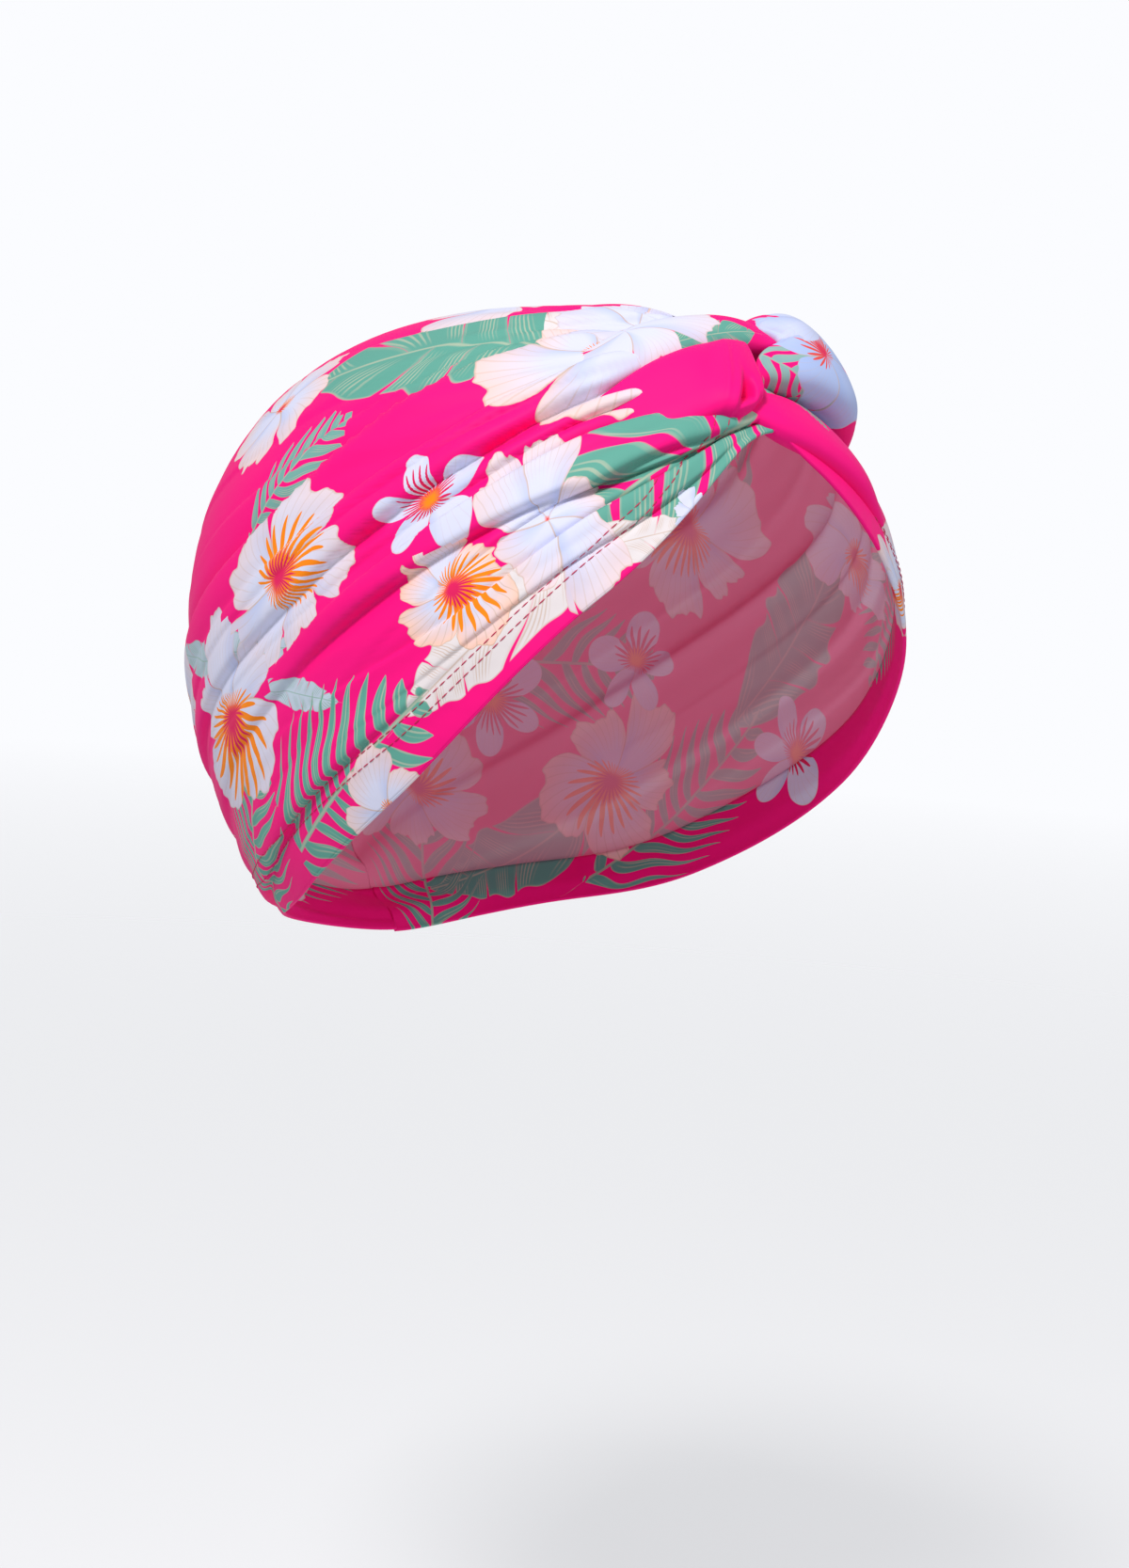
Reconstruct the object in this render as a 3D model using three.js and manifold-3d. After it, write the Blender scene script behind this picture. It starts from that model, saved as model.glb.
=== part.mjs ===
// Turban headwrap: two gathered cloth halves that loop round each other over the forehead.
// Millimetres. +Z is up, the face looks along -Y and the wearer's left is +X.
// The origin is the highest point of the head, on which the crown of the cap rests.
import * as THREE from 'three';
import Module from 'manifold-3d';

const wasm = await Module();
wasm.setup();

// The head that the cap is stretched over, as distances from the middle of the skull.
const HEAD_HALF_WIDTH = 78.2;
const HEAD_FRONT = 97.3;
const HEAD_BACK = 98.9;
const HEAD_TOP = 85.2;
const HEAD_BELOW = 94.8;
// How square the head is, seen from above and from the side. 2 is a plain ellipse.
const PLAN_SQUARENESS = 2.22;
const SIDE_SQUARENESS = 2.15;

// Cloth: a doubled jersey wall, its turned-up hem, and the room that the hem needs under the wall.
const CLOTH = 1.6;
const WALL_EASE = 0.4;
const HEM_WIDTH = 15;
const HEM_CLOTH = 1.0;
const CLEARANCE = 0.3;
// Space between the two halves along the crown and back seams.
const SEAM_GAP = 0.3;

// The cloth bridges from the head up to the knot, so it stands off the head there.
const LIFT_AT_CROWN = 9;
const LIFT_AT_HEM = 5.5;
// Slack at the upper back, where the cap doesn't touch the head, and the factor that makes its
// highest point about that high.
const BACK_FULLNESS = 3.6;
const FULLNESS_FACTOR = 2.5;

// Folds. The valley's half width, the ridge beside it, and how wide that is, are shares of the half
// width, and the ridge's height is a share of the depth. The cloth takes a dent of a third of its
// thickness, and its inner face follows a ridge by half.
const FOLD_DEPTH = 2.6;
const FOLD_HALF_WIDTH = 4.5;
const VALLEY_WIDTH = 0.7;
const RIDGE_PLACE = 1.1;
const RIDGE_WIDTH = 0.9;
const RIDGE_HEIGHT = 0.9;
const DENT_LIMIT = 0.35;
const INNER_RIDGE = 0.5;
// Gathers beside the back seam: their height, how far they reach, their number and how far they sink.
const GATHER_DEPTH = 1.2;
const GATHER_REACH = 16;
const GATHERS = 5;
const GATHER_SINK = 0.5;

// The knot: its overall size, its angle above the forehead's level, and how far it sits off centre.
const KNOT_WIDTH = 60;
const KNOT_HEIGHT = 30;
const KNOT_DEPTH = 20;
const KNOT_ANGLE = 45;
const KNOT_OFF_CENTRE = 4.5;
const KNOT_ABOVE = 3;

// Where the crown seam starts at the back and ends at the knot, as angles from the face's direction.
const SEAM_BACK_ANGLE = 188;
const SEAM_FRONT_ANGLE = 60;

// Columns run from the back seam to the knot, by a half turn of a cosine that starts and ends short
// of its flat ends. Rows lie evenly between the folds.
const WALL_COLUMNS = 36;
const COLUMN_MARGIN = 0.08;
const ROWS_BETWEEN_FOLDS = 4;
const HEM_ROWS = 2;
const LOOP_STEPS = 14;
const LOOP_SIDES = 14;
// What the strands are cut to sit on runs on below the hem by this share of the cloth, reaches inwards
// to this share of the way to the middle of the skull, and joins over the seam by this overlap.
const BELOW_HEM = 0.3;
const CORE_SHARE = 0.6;
const SLIT_OVERLAP = 0.05;

// Height of the hem round the head: angle from the face, height as a share of the head above or
// below the middle of the skull.
const HEM_HEIGHTS = [
  { angle: 0, height: 0.655 },
  { angle: 30, height: 0.245 },
  { angle: 60, height: -0.309 },
  { angle: 95, height: -0.627 },
  { angle: 135, height: -0.77 },
  { angle: 180, height: -0.857 },
];

// The main folds. Each runs from the back seam, station 0, past the ear and the temple to the knot,
// station 1. At the five stations, its place is the share of the way from the crown seam to the hem,
// and its depth is a share of the fold depth. A lap of 1 puts the cloth on the hem's side of the fold
// on top, and -1 the cloth on the crown's side.
const FOLD_STATIONS = [0, 0.55, 0.72, 0.86, 1];
const RIGHT_FOLDS = [
  { name: 'crown', place: [0.30, 0.24, 0.20, 0.15, 0.17], depth: [0.0, 0.1, 0.5, 0.6, 0.5], lap: 1 },
  { name: 'upper', place: [0.56, 0.54, 0.37, 0.29, 0.33], depth: [0.2, 0.7, 0.7, 0.6, 0.5], lap: 1 },
  { name: 'middle', place: [0.74, 0.66, 0.575, 0.48, 0.47], depth: [0.1, 0.6, 1.0, 1.0, 0.6], lap: -1 },
  { name: 'temple', place: [0.87, 0.80, 0.72, 0.76, 0.72], depth: [0.1, 0.2, 0.8, 1.2, 0.9], lap: 1 },
];
const LEFT_FOLDS = [
  { name: 'crown', place: [0.30, 0.24, 0.20, 0.20, 0.24], depth: [0.0, 0.1, 0.5, 0.7, 0.7], lap: 1 },
  { name: 'upper', place: [0.52, 0.48, 0.40, 0.38, 0.42], depth: [0.2, 0.5, 0.8, 0.8, 0.6], lap: -1 },
  { name: 'middle', place: [0.70, 0.64, 0.60, 0.58, 0.60], depth: [0.1, 0.6, 1.0, 1.1, 0.8], lap: 1 },
  { name: 'temple', place: [0.85, 0.80, 0.78, 0.77, 0.77], depth: [0.1, 0.3, 0.7, 1.0, 0.9], lap: 1 },
];

// Sections of the knot's four strands. Across is a share of the knot's width, up and half height of
// its height, out and half depth of its depth; all are counted from the middle of the knot.
const RIGHT_LOBE = [
  { across: -0.60, up: -0.12, out: -0.30, halfHeight: 0.28, halfDepth: 0.13 },
  { across: -0.44, up: -0.12, out: 0.06, halfHeight: 0.36, halfDepth: 0.19 },
  { across: -0.28, up: -0.10, out: 0.32, halfHeight: 0.38, halfDepth: 0.28 },
  { across: -0.15, up: -0.06, out: 0.46, halfHeight: 0.36, halfDepth: 0.33 },
  { across: -0.08, up: -0.02, out: 0.30, halfHeight: 0.28, halfDepth: 0.30 },
];
const RIGHT_STRAND = [
  { across: -0.57, up: 0.43, out: -0.25, halfHeight: 0.24, halfDepth: 0.12 },
  { across: -0.34, up: 0.45, out: 0.20, halfHeight: 0.26, halfDepth: 0.22 },
  { across: -0.08, up: 0.43, out: 0.46, halfHeight: 0.22, halfDepth: 0.24 },
  { across: 0.12, up: 0.36, out: 0.50, halfHeight: 0.19, halfDepth: 0.21 },
  { across: 0.30, up: 0.22, out: 0.38, halfHeight: 0.14, halfDepth: 0.16 },
];
const LEFT_LOBE = [
  { across: 0.62, up: -0.12, out: -0.62, halfHeight: 0.34, halfDepth: 0.14 },
  { across: 0.52, up: 0.00, out: -0.16, halfHeight: 0.42, halfDepth: 0.24 },
  { across: 0.41, up: 0.14, out: 0.20, halfHeight: 0.45, halfDepth: 0.34 },
  { across: 0.28, up: 0.24, out: 0.44, halfHeight: 0.46, halfDepth: 0.40 },
  { across: 0.16, up: 0.28, out: 0.44, halfHeight: 0.42, halfDepth: 0.36 },
  { across: 0.07, up: 0.20, out: 0.14, halfHeight: 0.30, halfDepth: 0.26 },
];
const LEFT_STRAND = [
  { across: 0.58, up: -0.85, out: -0.60, halfHeight: 0.22, halfDepth: 0.12 },
  { across: 0.40, up: -0.62, out: -0.12, halfHeight: 0.26, halfDepth: 0.20 },
  { across: 0.20, up: -0.38, out: 0.16, halfHeight: 0.26, halfDepth: 0.22 },
  { across: 0.04, up: -0.24, out: 0.30, halfHeight: 0.22, halfDepth: 0.20 },
  { across: -0.10, up: -0.16, out: 0.34, halfHeight: 0.16, halfDepth: 0.16 },
];

const radians = (degrees) => degrees * Math.PI / 180;
const clamp01 = (x) => Math.min(1, Math.max(0, x));
const smooth = (x) => clamp01(x) ** 2 * (3 - 2 * clamp01(x));
const bell = (x) => Math.exp(-(x ** 2));

// Value at x of a smooth line through a table: cubic pieces whose slopes at the inner rows are the
// slopes between their neighbours, and level at both ends.
function tableValue(xs, ys, x) {
  const last = xs.length - 1;
  let i = 0;
  while (i < last - 1 && x > xs[i + 1]) i += 1;
  const slope = (k) => (k === 0 || k === last ? 0 : (ys[k + 1] - ys[k - 1]) / (xs[k + 1] - xs[k - 1]));
  const width = xs[i + 1] - xs[i];
  const t = clamp01((x - xs[i]) / width);
  const start = ys[i] * (1 + 2 * t) * (1 - t) ** 2 + width * slope(i) * t * (1 - t) ** 2;
  const end = ys[i + 1] * t * t * (3 - 2 * t) + width * slope(i + 1) * t * t * (t - 1);
  return start + end;
}

// The head's outline from above: this sum is 1 where it is widest.
function planSum(x, y) {
  const length = y < 0 ? HEAD_FRONT : HEAD_BACK;
  return Math.abs(x / HEAD_HALF_WIDTH) ** PLAN_SQUARENESS + Math.abs(y / length) ** PLAN_SQUARENESS;
}

// Distance from the middle of the skull to the head's surface along a unit direction.
function headRadius(d) {
  const height = d.z > 0 ? HEAD_TOP : HEAD_BELOW;
  const plan = planSum(d.x, d.y);
  const side = Math.abs(d.z / height) ** SIDE_SQUARENESS;
  return (plan ** (SIDE_SQUARENESS / PLAN_SQUARENESS) + side) ** (-1 / SIDE_SQUARENESS);
}

// Outward normal of the head at a point of its surface.
function headNormal(p) {
  const length = p.y < 0 ? HEAD_FRONT : HEAD_BACK;
  const height = p.z > 0 ? HEAD_TOP : HEAD_BELOW;
  const scale = (planSum(p.x, p.y) + 1e-12) ** (SIDE_SQUARENESS / PLAN_SQUARENESS - 1);
  const slope = (value, half, power) => Math.sign(value) * Math.abs(value / half) ** (power - 1) / half;
  return new THREE.Vector3(
    scale * slope(p.x, HEAD_HALF_WIDTH, PLAN_SQUARENESS),
    scale * slope(p.y, length, PLAN_SQUARENESS),
    slope(p.z, height, SIDE_SQUARENESS),
  ).normalize();
}

// Direction of the hem, from the nape at 0 to the forehead at 1. side is 1 on the wearer's left.
function hemDirection(along, side) {
  const angle = Math.PI * (1 - along);
  const heights = HEM_HEIGHTS.map((row) => row.height * (row.height > 0 ? HEAD_TOP : HEAD_BELOW));
  const z = tableValue(HEM_HEIGHTS.map((row) => radians(row.angle)), heights, angle);
  const half = z > 0 ? HEAD_TOP : HEAD_BELOW;
  const level = (1 - Math.abs(z / half) ** SIDE_SQUARENESS) ** (1 / SIDE_SQUARENESS);
  const x = side * Math.sin(angle);
  const y = -Math.cos(angle);
  const radius = level * planSum(x, y) ** (-1 / PLAN_SQUARENESS);
  return new THREE.Vector3(x * radius, y * radius, z).normalize();
}

// Direction of the crown seam, which runs in the middle plane from the back to the knot.
function seamDirection(along) {
  const angle = radians(SEAM_BACK_ANGLE + (SEAM_FRONT_ANGLE - SEAM_BACK_ANGLE) * along);
  return new THREE.Vector3(0, -Math.cos(angle), Math.sin(angle));
}

// Angle between the crown seam and the hem, seen from the middle of the skull.
const spread = (along, side) => seamDirection(along).angleTo(hemDirection(along, side));

// Point of the head under the cloth: the two directions are blended along a great circle.
// across is 0 at the crown seam and 1 at the hem.
function headPoint(along, across, side) {
  const angle = spread(along, side);
  const seam = seamDirection(along).multiplyScalar(Math.sin((1 - across) * angle) / Math.sin(angle));
  const hem = hemDirection(along, side).multiplyScalar(Math.sin(across * angle) / Math.sin(angle));
  const direction = seam.add(hem).normalize();
  return direction.multiplyScalar(headRadius(direction));
}

// Length of cloth from the crown seam to the hem, near enough for the widths of folds and hems.
const clothLength = (along, side) => spread(along, side) * headRadius(hemDirection(along, side));

// How far the cloth stands off the head: its bridge to the knot and its slack at the upper back.
function lift(along, across) {
  const start = 0.5 + 0.3 * across;
  const rise = clamp01((along - start) / (1 - start)) ** 2;
  const bridge = (LIFT_AT_CROWN * (1 - across) + LIFT_AT_HEM * across) * rise;
  const backWeight = smooth(along / 0.3) * smooth((0.85 - along) / 0.4);
  const slack = BACK_FULLNESS * FULLNESS_FACTOR * Math.sin(Math.PI * across) * (1 - across) ** 2;
  return bridge + backWeight * slack;
}

const foldPlace = (fold, along) => tableValue(FOLD_STATIONS, fold.place, along);

// Relief of the folds and of the gathers beside the back seam. A fold is a valley with a ridge on
// one side, and a gather is a wave that dies away from the seam.
function relief(along, across, side, folds) {
  const length = clothLength(along, side);
  let height = 0;
  for (const fold of folds) {
    const distance = (across - foldPlace(fold, along)) * length / FOLD_HALF_WIDTH;
    const depth = FOLD_DEPTH * tableValue(FOLD_STATIONS, fold.depth, along);
    const ridge = RIDGE_HEIGHT * bell((distance * fold.lap - RIDGE_PLACE) / RIDGE_WIDTH);
    height += depth * (ridge - bell(distance / VALLEY_WIDTH));
  }
  const fade = bell(along * HEAD_BACK / GATHER_REACH);
  return height + GATHER_DEPTH * fade * (Math.sin(2 * Math.PI * GATHERS * across) - GATHER_SINK);
}

// A point at a height above the head, moved half the seam's gap away from the middle plane.
function offsetPoint(along, across, side, height) {
  const p = headPoint(along, across, side);
  p.addScaledVector(headNormal(p), height);
  p.x += side * SEAM_GAP / 2;
  return p;
}

// Height of the wall's inner face: snug on the head, with room for the hem where that is turned up.
// The room grows over the hem's own width, from twice that width above the edge.
const HEM_ROOM = HEM_CLOTH + CLEARANCE;
function innerHeight(along, across, side) {
  const turned = HEM_WIDTH / clothLength(along, side);
  const room = HEM_ROOM * smooth((across - (1 - 2 * turned)) / (0.75 * turned));
  return WALL_EASE + room + lift(along, across);
}

// Closed solid between two grids of points, given as functions of column and row.
function shellSolid(columns, rows, outer, inner) {
  const positions = [];
  const faces = [];
  for (const face of [outer, inner]) {
    for (let i = 0; i <= columns; i += 1) {
      for (let j = 0; j <= rows; j += 1) positions.push(...face(i, j).toArray());
    }
  }
  const layer = (columns + 1) * (rows + 1);
  const out = (i, j) => i * (rows + 1) + j;
  const inn = (i, j) => layer + out(i, j);
  const quad = (a, b, c, d) => faces.push(a, b, c, a, c, d);
  for (let i = 0; i < columns; i += 1) {
    for (let j = 0; j < rows; j += 1) {
      quad(out(i, j), out(i + 1, j), out(i + 1, j + 1), out(i, j + 1));
      quad(inn(i, j), inn(i, j + 1), inn(i + 1, j + 1), inn(i + 1, j));
    }
    quad(out(i, 0), inn(i, 0), inn(i + 1, 0), out(i + 1, 0));
    quad(out(i, rows), out(i + 1, rows), inn(i + 1, rows), inn(i, rows));
  }
  for (let j = 0; j < rows; j += 1) {
    quad(out(0, j), out(0, j + 1), inn(0, j + 1), inn(0, j));
    quad(out(columns, j), inn(columns, j), inn(columns, j + 1), out(columns, j + 1));
  }
  return closedSolid(positions, faces);
}

// A manifold from points and triangles, turned the right way out.
function closedSolid(positions, faces) {
  const solid = (triangles) => new wasm.Manifold(new wasm.Mesh({
    numProp: 3,
    vertProperties: new Float32Array(positions),
    triVerts: new Uint32Array(triangles),
  }));
  const first = solid(faces);
  if (first.volume() > 0) return first;
  const turned = [];
  for (let i = 0; i < faces.length; i += 3) turned.push(faces[i], faces[i + 2], faces[i + 1]);
  return solid(turned);
}

// Rows of the wall, as shares from the crown seam to the hem: evenly spaced between the folds.
function rowPlace(row, along, folds) {
  const lines = [0, ...folds.map((fold) => foldPlace(fold, along)), 1];
  const band = Math.min(Math.floor(row / ROWS_BETWEEN_FOLDS), lines.length - 2);
  const share = row / ROWS_BETWEEN_FOLDS - band;
  return lines[band] + (lines[band + 1] - lines[band]) * share;
}

// Columns lie closer together at the knot and at the back seam.
function alongAt(column) {
  const place = (share) => -Math.cos(Math.PI * (COLUMN_MARGIN + (1 - 2 * COLUMN_MARGIN) * share));
  return (place(column / WALL_COLUMNS) - place(0)) / (place(1) - place(0));
}

// A point of the wall's outer face. beyond carries it on past the hem, and grow holds it off.
function wallPoint(column, row, beyond, side, folds, grow) {
  const along = alongAt(column);
  const across = rowPlace(row, along, folds);
  const fold = Math.max(relief(along, across, side, folds), -DENT_LIMIT * CLOTH);
  const height = innerHeight(along, across, side) + CLOTH + fold + grow;
  return offsetPoint(along, across + beyond, side, height);
}

// One half of the cap: a doubled cloth wall from the back seam over the ear to the knot. A dent is
// pressed into the cloth, and a ridge takes the inner face along with it in part.
function panel(side, folds) {
  const rows = ROWS_BETWEEN_FOLDS * (folds.length + 1);
  const outer = (i, j) => wallPoint(i, j, 0, side, folds, 0);
  const inner = (i, j) => {
    const along = alongAt(i);
    const across = rowPlace(j, along, folds);
    const ridge = Math.max(0, relief(along, across, side, folds));
    return offsetPoint(along, across, side, innerHeight(along, across, side) + INNER_RIDGE * ridge);
  };
  return shellSolid(WALL_COLUMNS, rows, outer, inner);
}

// The turned-up edge that lies inside the wall along the hem.
function hemBand(side) {
  const face = (height) => (i, j) => {
    const along = alongAt(i);
    const turned = HEM_WIDTH / clothLength(along, side);
    const across = 1 - turned * (1 - j / HEM_ROWS);
    return offsetPoint(along, across, side, WALL_EASE + lift(along, across) + height);
  };
  return shellSolid(WALL_COLUMNS, HEM_ROWS, face(HEM_CLOTH), face(0));
}

// The knot's own axes: across to the wearer's left, up towards the crown, and out from the head.
function knotFrame() {
  const direction = new THREE.Vector3(0, -Math.cos(radians(KNOT_ANGLE)), Math.sin(radians(KNOT_ANGLE)));
  const foot = direction.multiplyScalar(headRadius(direction));
  const out = headNormal(foot);
  const across = new THREE.Vector3(1, 0, 0);
  const up = out.clone().cross(across);
  const origin = foot.clone().addScaledVector(across, KNOT_OFF_CENTRE).addScaledVector(up, KNOT_ABOVE);
  return { origin, across, up, out };
}

// A strand of bunched cloth: ellipses carried along a smooth line through the table's sections.
function strand(sections, grow) {
  const { origin, across, up, out } = knotFrame();
  const stations = sections.map((_, k) => k / (sections.length - 1));
  const column = (name, t) => tableValue(stations, sections.map((row) => row[name]), t);
  const centres = new THREE.CatmullRomCurve3(sections.map((row) => origin.clone()
    .addScaledVector(across, row.across * KNOT_WIDTH)
    .addScaledVector(up, row.up * KNOT_HEIGHT)
    .addScaledVector(out, row.out * KNOT_DEPTH)));
  const positions = [];
  const faces = [];
  for (let i = 0; i <= LOOP_STEPS; i += 1) {
    const t = i / LOOP_STEPS;
    const centre = centres.getPoint(t);
    const tangent = centres.getTangent(t);
    const tall = up.clone().addScaledVector(tangent, -up.dot(tangent)).normalize();
    const deep = tangent.clone().cross(tall);
    const halfHeight = column('halfHeight', t) * KNOT_HEIGHT + grow;
    const halfDepth = column('halfDepth', t) * KNOT_DEPTH + grow;
    for (let k = 0; k < LOOP_SIDES; k += 1) {
      const angle = 2 * Math.PI * k / LOOP_SIDES;
      const p = centre.clone()
        .addScaledVector(tall, halfHeight * Math.cos(angle))
        .addScaledVector(deep, halfDepth * Math.sin(angle));
      positions.push(...p.toArray());
    }
    for (let k = 0; k < LOOP_SIDES && i < LOOP_STEPS; k += 1) {
      const next = (k + 1) % LOOP_SIDES;
      const a = i * LOOP_SIDES;
      const b = a + LOOP_SIDES;
      faces.push(a + k, a + next, b + next, a + k, b + next, b + k);
    }
  }
  const start = positions.length / 3;
  positions.push(...centres.getPoint(0).toArray(), ...centres.getPoint(1).toArray());
  const lastRing = LOOP_STEPS * LOOP_SIDES;
  for (let k = 0; k < LOOP_SIDES; k += 1) {
    const next = (k + 1) % LOOP_SIDES;
    faces.push(start, next, k, start + 1, lastRing + k, lastRing + next);
  }
  return closedSolid(positions, faces);
}

// Everything under the outer face of the cap, which the knot's strands are cut to sit on. Each side
// has the wall's own columns and rows, held off by the clearance, and one more row that carries it on
// below the hem. A thin slab along the crown seam and the front edge closes the slit between them.
function underCap() {
  const rows = ROWS_BETWEEN_FOLDS * (RIGHT_FOLDS.length + 1);
  const face = (side, folds) => (i, j) => {
    const beyond = j > rows ? BELOW_HEM : 0;
    return wallPoint(i, Math.min(j, rows), beyond, side, folds, CLEARANCE);
  };
  const right = face(-1, RIGHT_FOLDS);
  const left = face(1, LEFT_FOLDS);
  const cored = (outer) => (i, j) => outer(i, j).multiplyScalar(CORE_SHARE);
  const edge = (outer, side) => (k) => {
    const p = k <= WALL_COLUMNS ? outer(k, 0) : outer(WALL_COLUMNS, k - WALL_COLUMNS);
    p.x += side * SLIT_OVERLAP;
    return p;
  };
  const slit = (k, j) => (j === 0 ? edge(right, -1)(k) : edge(left, 1)(k));
  return shellSolid(WALL_COLUMNS, rows + 1, right, cored(right))
    .add(shellSolid(WALL_COLUMNS, rows + 1, left, cored(left)))
    .add(shellSolid(WALL_COLUMNS + rows + 1, 1, slit, cored(slit)));
}

// Each half sends one strand through the other half's lobe. The right lobe lies over the left one.
function knotLoops() {
  const under = underCap();
  const rightLobe = strand(RIGHT_LOBE, 0).subtract(strand(LEFT_STRAND, CLEARANCE));
  const leftLobe = strand(LEFT_LOBE, 0)
    .subtract(strand(RIGHT_LOBE, CLEARANCE))
    .subtract(strand(RIGHT_STRAND, CLEARANCE));
  const right = rightLobe.add(strand(RIGHT_STRAND, 0)).subtract(under);
  const left = leftLobe.add(strand(LEFT_STRAND, 0)).subtract(under);
  return { right: largest(right), left: largest(left) };
}

// The biggest of a solid's loose bodies: crumbs cut off under the cap are dropped.
function largest(solid) {
  return solid.decompose().reduce((best, body) => (body.volume() > best.volume() ? body : best));
}

function mesh(name, solid, colour) {
  const { numProp, vertProperties, triVerts } = solid.getMesh();
  const geometry = new THREE.BufferGeometry();
  geometry.setAttribute('position', new THREE.BufferAttribute(vertProperties, numProp));
  geometry.setIndex(new THREE.BufferAttribute(triVerts, 1));
  geometry.computeVertexNormals();
  const material = new THREE.MeshStandardMaterial({ color: colour, roughness: 0.75, metalness: 0 });
  const piece = new THREE.Mesh(geometry, material);
  piece.name = name;
  return piece;
}

const loops = knotLoops();
const turban = new THREE.Group();
turban.add(
  mesh('right_panel', panel(-1, RIGHT_FOLDS), 0xe8257f),
  mesh('left_panel', panel(1, LEFT_FOLDS), 0xe8257f),
  mesh('right_hem', hemBand(-1), 0xf2a9c4),
  mesh('left_hem', hemBand(1), 0xf2a9c4),
  mesh('right_loop', loops.right, 0xf0308a),
  mesh('left_loop', loops.left, 0xc9d3f2),
);
turban.position.z = -HEAD_TOP;

export default turban;
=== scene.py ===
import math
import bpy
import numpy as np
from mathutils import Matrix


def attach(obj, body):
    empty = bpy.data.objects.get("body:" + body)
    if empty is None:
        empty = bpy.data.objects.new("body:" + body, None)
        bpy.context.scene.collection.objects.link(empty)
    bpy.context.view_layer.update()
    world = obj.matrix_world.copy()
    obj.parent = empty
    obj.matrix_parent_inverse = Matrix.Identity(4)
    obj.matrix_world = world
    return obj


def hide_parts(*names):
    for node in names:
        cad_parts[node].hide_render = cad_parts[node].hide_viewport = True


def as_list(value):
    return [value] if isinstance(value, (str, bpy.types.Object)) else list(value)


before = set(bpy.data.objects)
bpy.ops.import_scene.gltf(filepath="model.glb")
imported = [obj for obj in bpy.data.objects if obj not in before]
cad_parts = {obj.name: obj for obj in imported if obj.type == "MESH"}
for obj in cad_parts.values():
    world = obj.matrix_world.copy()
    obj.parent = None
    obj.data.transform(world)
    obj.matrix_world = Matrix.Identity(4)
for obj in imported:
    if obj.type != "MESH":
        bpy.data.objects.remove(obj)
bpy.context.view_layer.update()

# %% [markdown]
# A turban headwrap is a soft cap of two cloth halves. Each half is stretched over one side of a
# rounded form, and at the front the two halves loop round each other in a knot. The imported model
# gives the frame: where the cap sits and how large it is. This scene adds the cloth as one would see
# it, with fine folds, a turned-up hem, stitches and a tropical print. All lengths are in millimetres,
# as a maker would measure them, and become metres when a mesh is made.

MM = 0.001
RIGHT = -1
LEFT = 1

# %% [markdown]
# The cap is stretched over a form, so the first thing to have is that form. It could be a scanned
# mesh, but a formula is enough: a rounded box with its own reach to the front, back, top, below and
# sides, whose squareness is set by two powers. It is 56 cm round, as a one-size cap is cut for.

# %% The form inside the cap
FORM_HALF_WIDTH = 78.2
FORM_FRONT = 97.3
FORM_BACK = 98.9
FORM_TOP = 85.2
FORM_BELOW = 94.8
PLAN_SQUARENESS = 2.22
SIDE_SQUARENESS = 2.15
FORM_MIDDLE = np.array([0.0, 0.0, -FORM_TOP])
NEVER_ZERO = 1e-12


def unit(v):
    """Each vector over its own length."""
    return v / np.linalg.norm(v, axis=-1, keepdims=True)


def form_sides(v):
    """The form's reach to the front or back, and to the top or below, on the side where v points."""
    return (np.where(v[..., 1] < 0, FORM_FRONT, FORM_BACK),
            np.where(v[..., 2] > 0, FORM_TOP, FORM_BELOW))


def plan_sum(x, y, length):
    """|x / half width|^p + |y / length|^p."""
    return np.abs(x / FORM_HALF_WIDTH) ** PLAN_SQUARENESS + np.abs(y / length) ** PLAN_SQUARENESS


def form_radius(d):
    """Distance to the surface along unit d: (plan^(q/p) + |z/height|^q)^(-1/q)."""
    length, height = form_sides(d)
    plan = plan_sum(d[..., 0], d[..., 1], length)
    tall = np.abs(d[..., 2] / height) ** SIDE_SQUARENESS
    return (plan ** (SIDE_SQUARENESS / PLAN_SQUARENESS) + tall) ** (-1.0 / SIDE_SQUARENESS)


def form_normal(p):
    """Outward normal: the slope of that same sum at p."""
    length, height = form_sides(p)
    plan = plan_sum(p[..., 0], p[..., 1], length) + NEVER_ZERO
    scale = plan ** (SIDE_SQUARENESS / PLAN_SQUARENESS - 1.0)

    def slope(value, half, power):
        return np.sign(value) * np.abs(value / half) ** (power - 1.0) / half

    return unit(np.stack([scale * slope(p[..., 0], FORM_HALF_WIDTH, PLAN_SQUARENESS),
                          scale * slope(p[..., 1], length, PLAN_SQUARENESS),
                          slope(p[..., 2], height, SIDE_SQUARENESS)], -1))

# %% [markdown]
# Every fold, hem and strand is steered by a short table. A smooth line through a table's rows could
# be a spline object, but a cubic worked out on whole arrays gives the value anywhere at once.


# %% Smooth lines through tables
def smooth(x):
    """3x^2 - 2x^3, with x held between 0 and 1."""
    x = np.clip(x, 0.0, 1.0)
    return x * x * (3.0 - 2.0 * x)


def swell(x):
    """A bell of height 1 and half width about 1: e^(-x^2)."""
    return np.exp(-np.square(x))


def through(xs, ys, x):
    """Cubic pieces through the rows, whose inner slopes are those between their neighbours."""
    xs = np.asarray(xs, float)
    ys = np.asarray(ys, float)
    slope = np.zeros(len(xs))
    slope[1:-1] = (ys[2:] - ys[:-2]) / (xs[2:] - xs[:-2])
    i = np.clip(np.searchsorted(xs, x, side="left") - 1, 0, len(xs) - 2)
    width = xs[i + 1] - xs[i]
    t = np.clip((x - xs[i]) / width, 0.0, 1.0)
    start = ys[i] * (1 + 2 * t) * (1 - t) ** 2 + width * slope[i] * t * (1 - t) ** 2
    end = ys[i + 1] * t * t * (3 - 2 * t) + width * slope[i + 1] * t * t * (t - 1)
    return start + end

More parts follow.
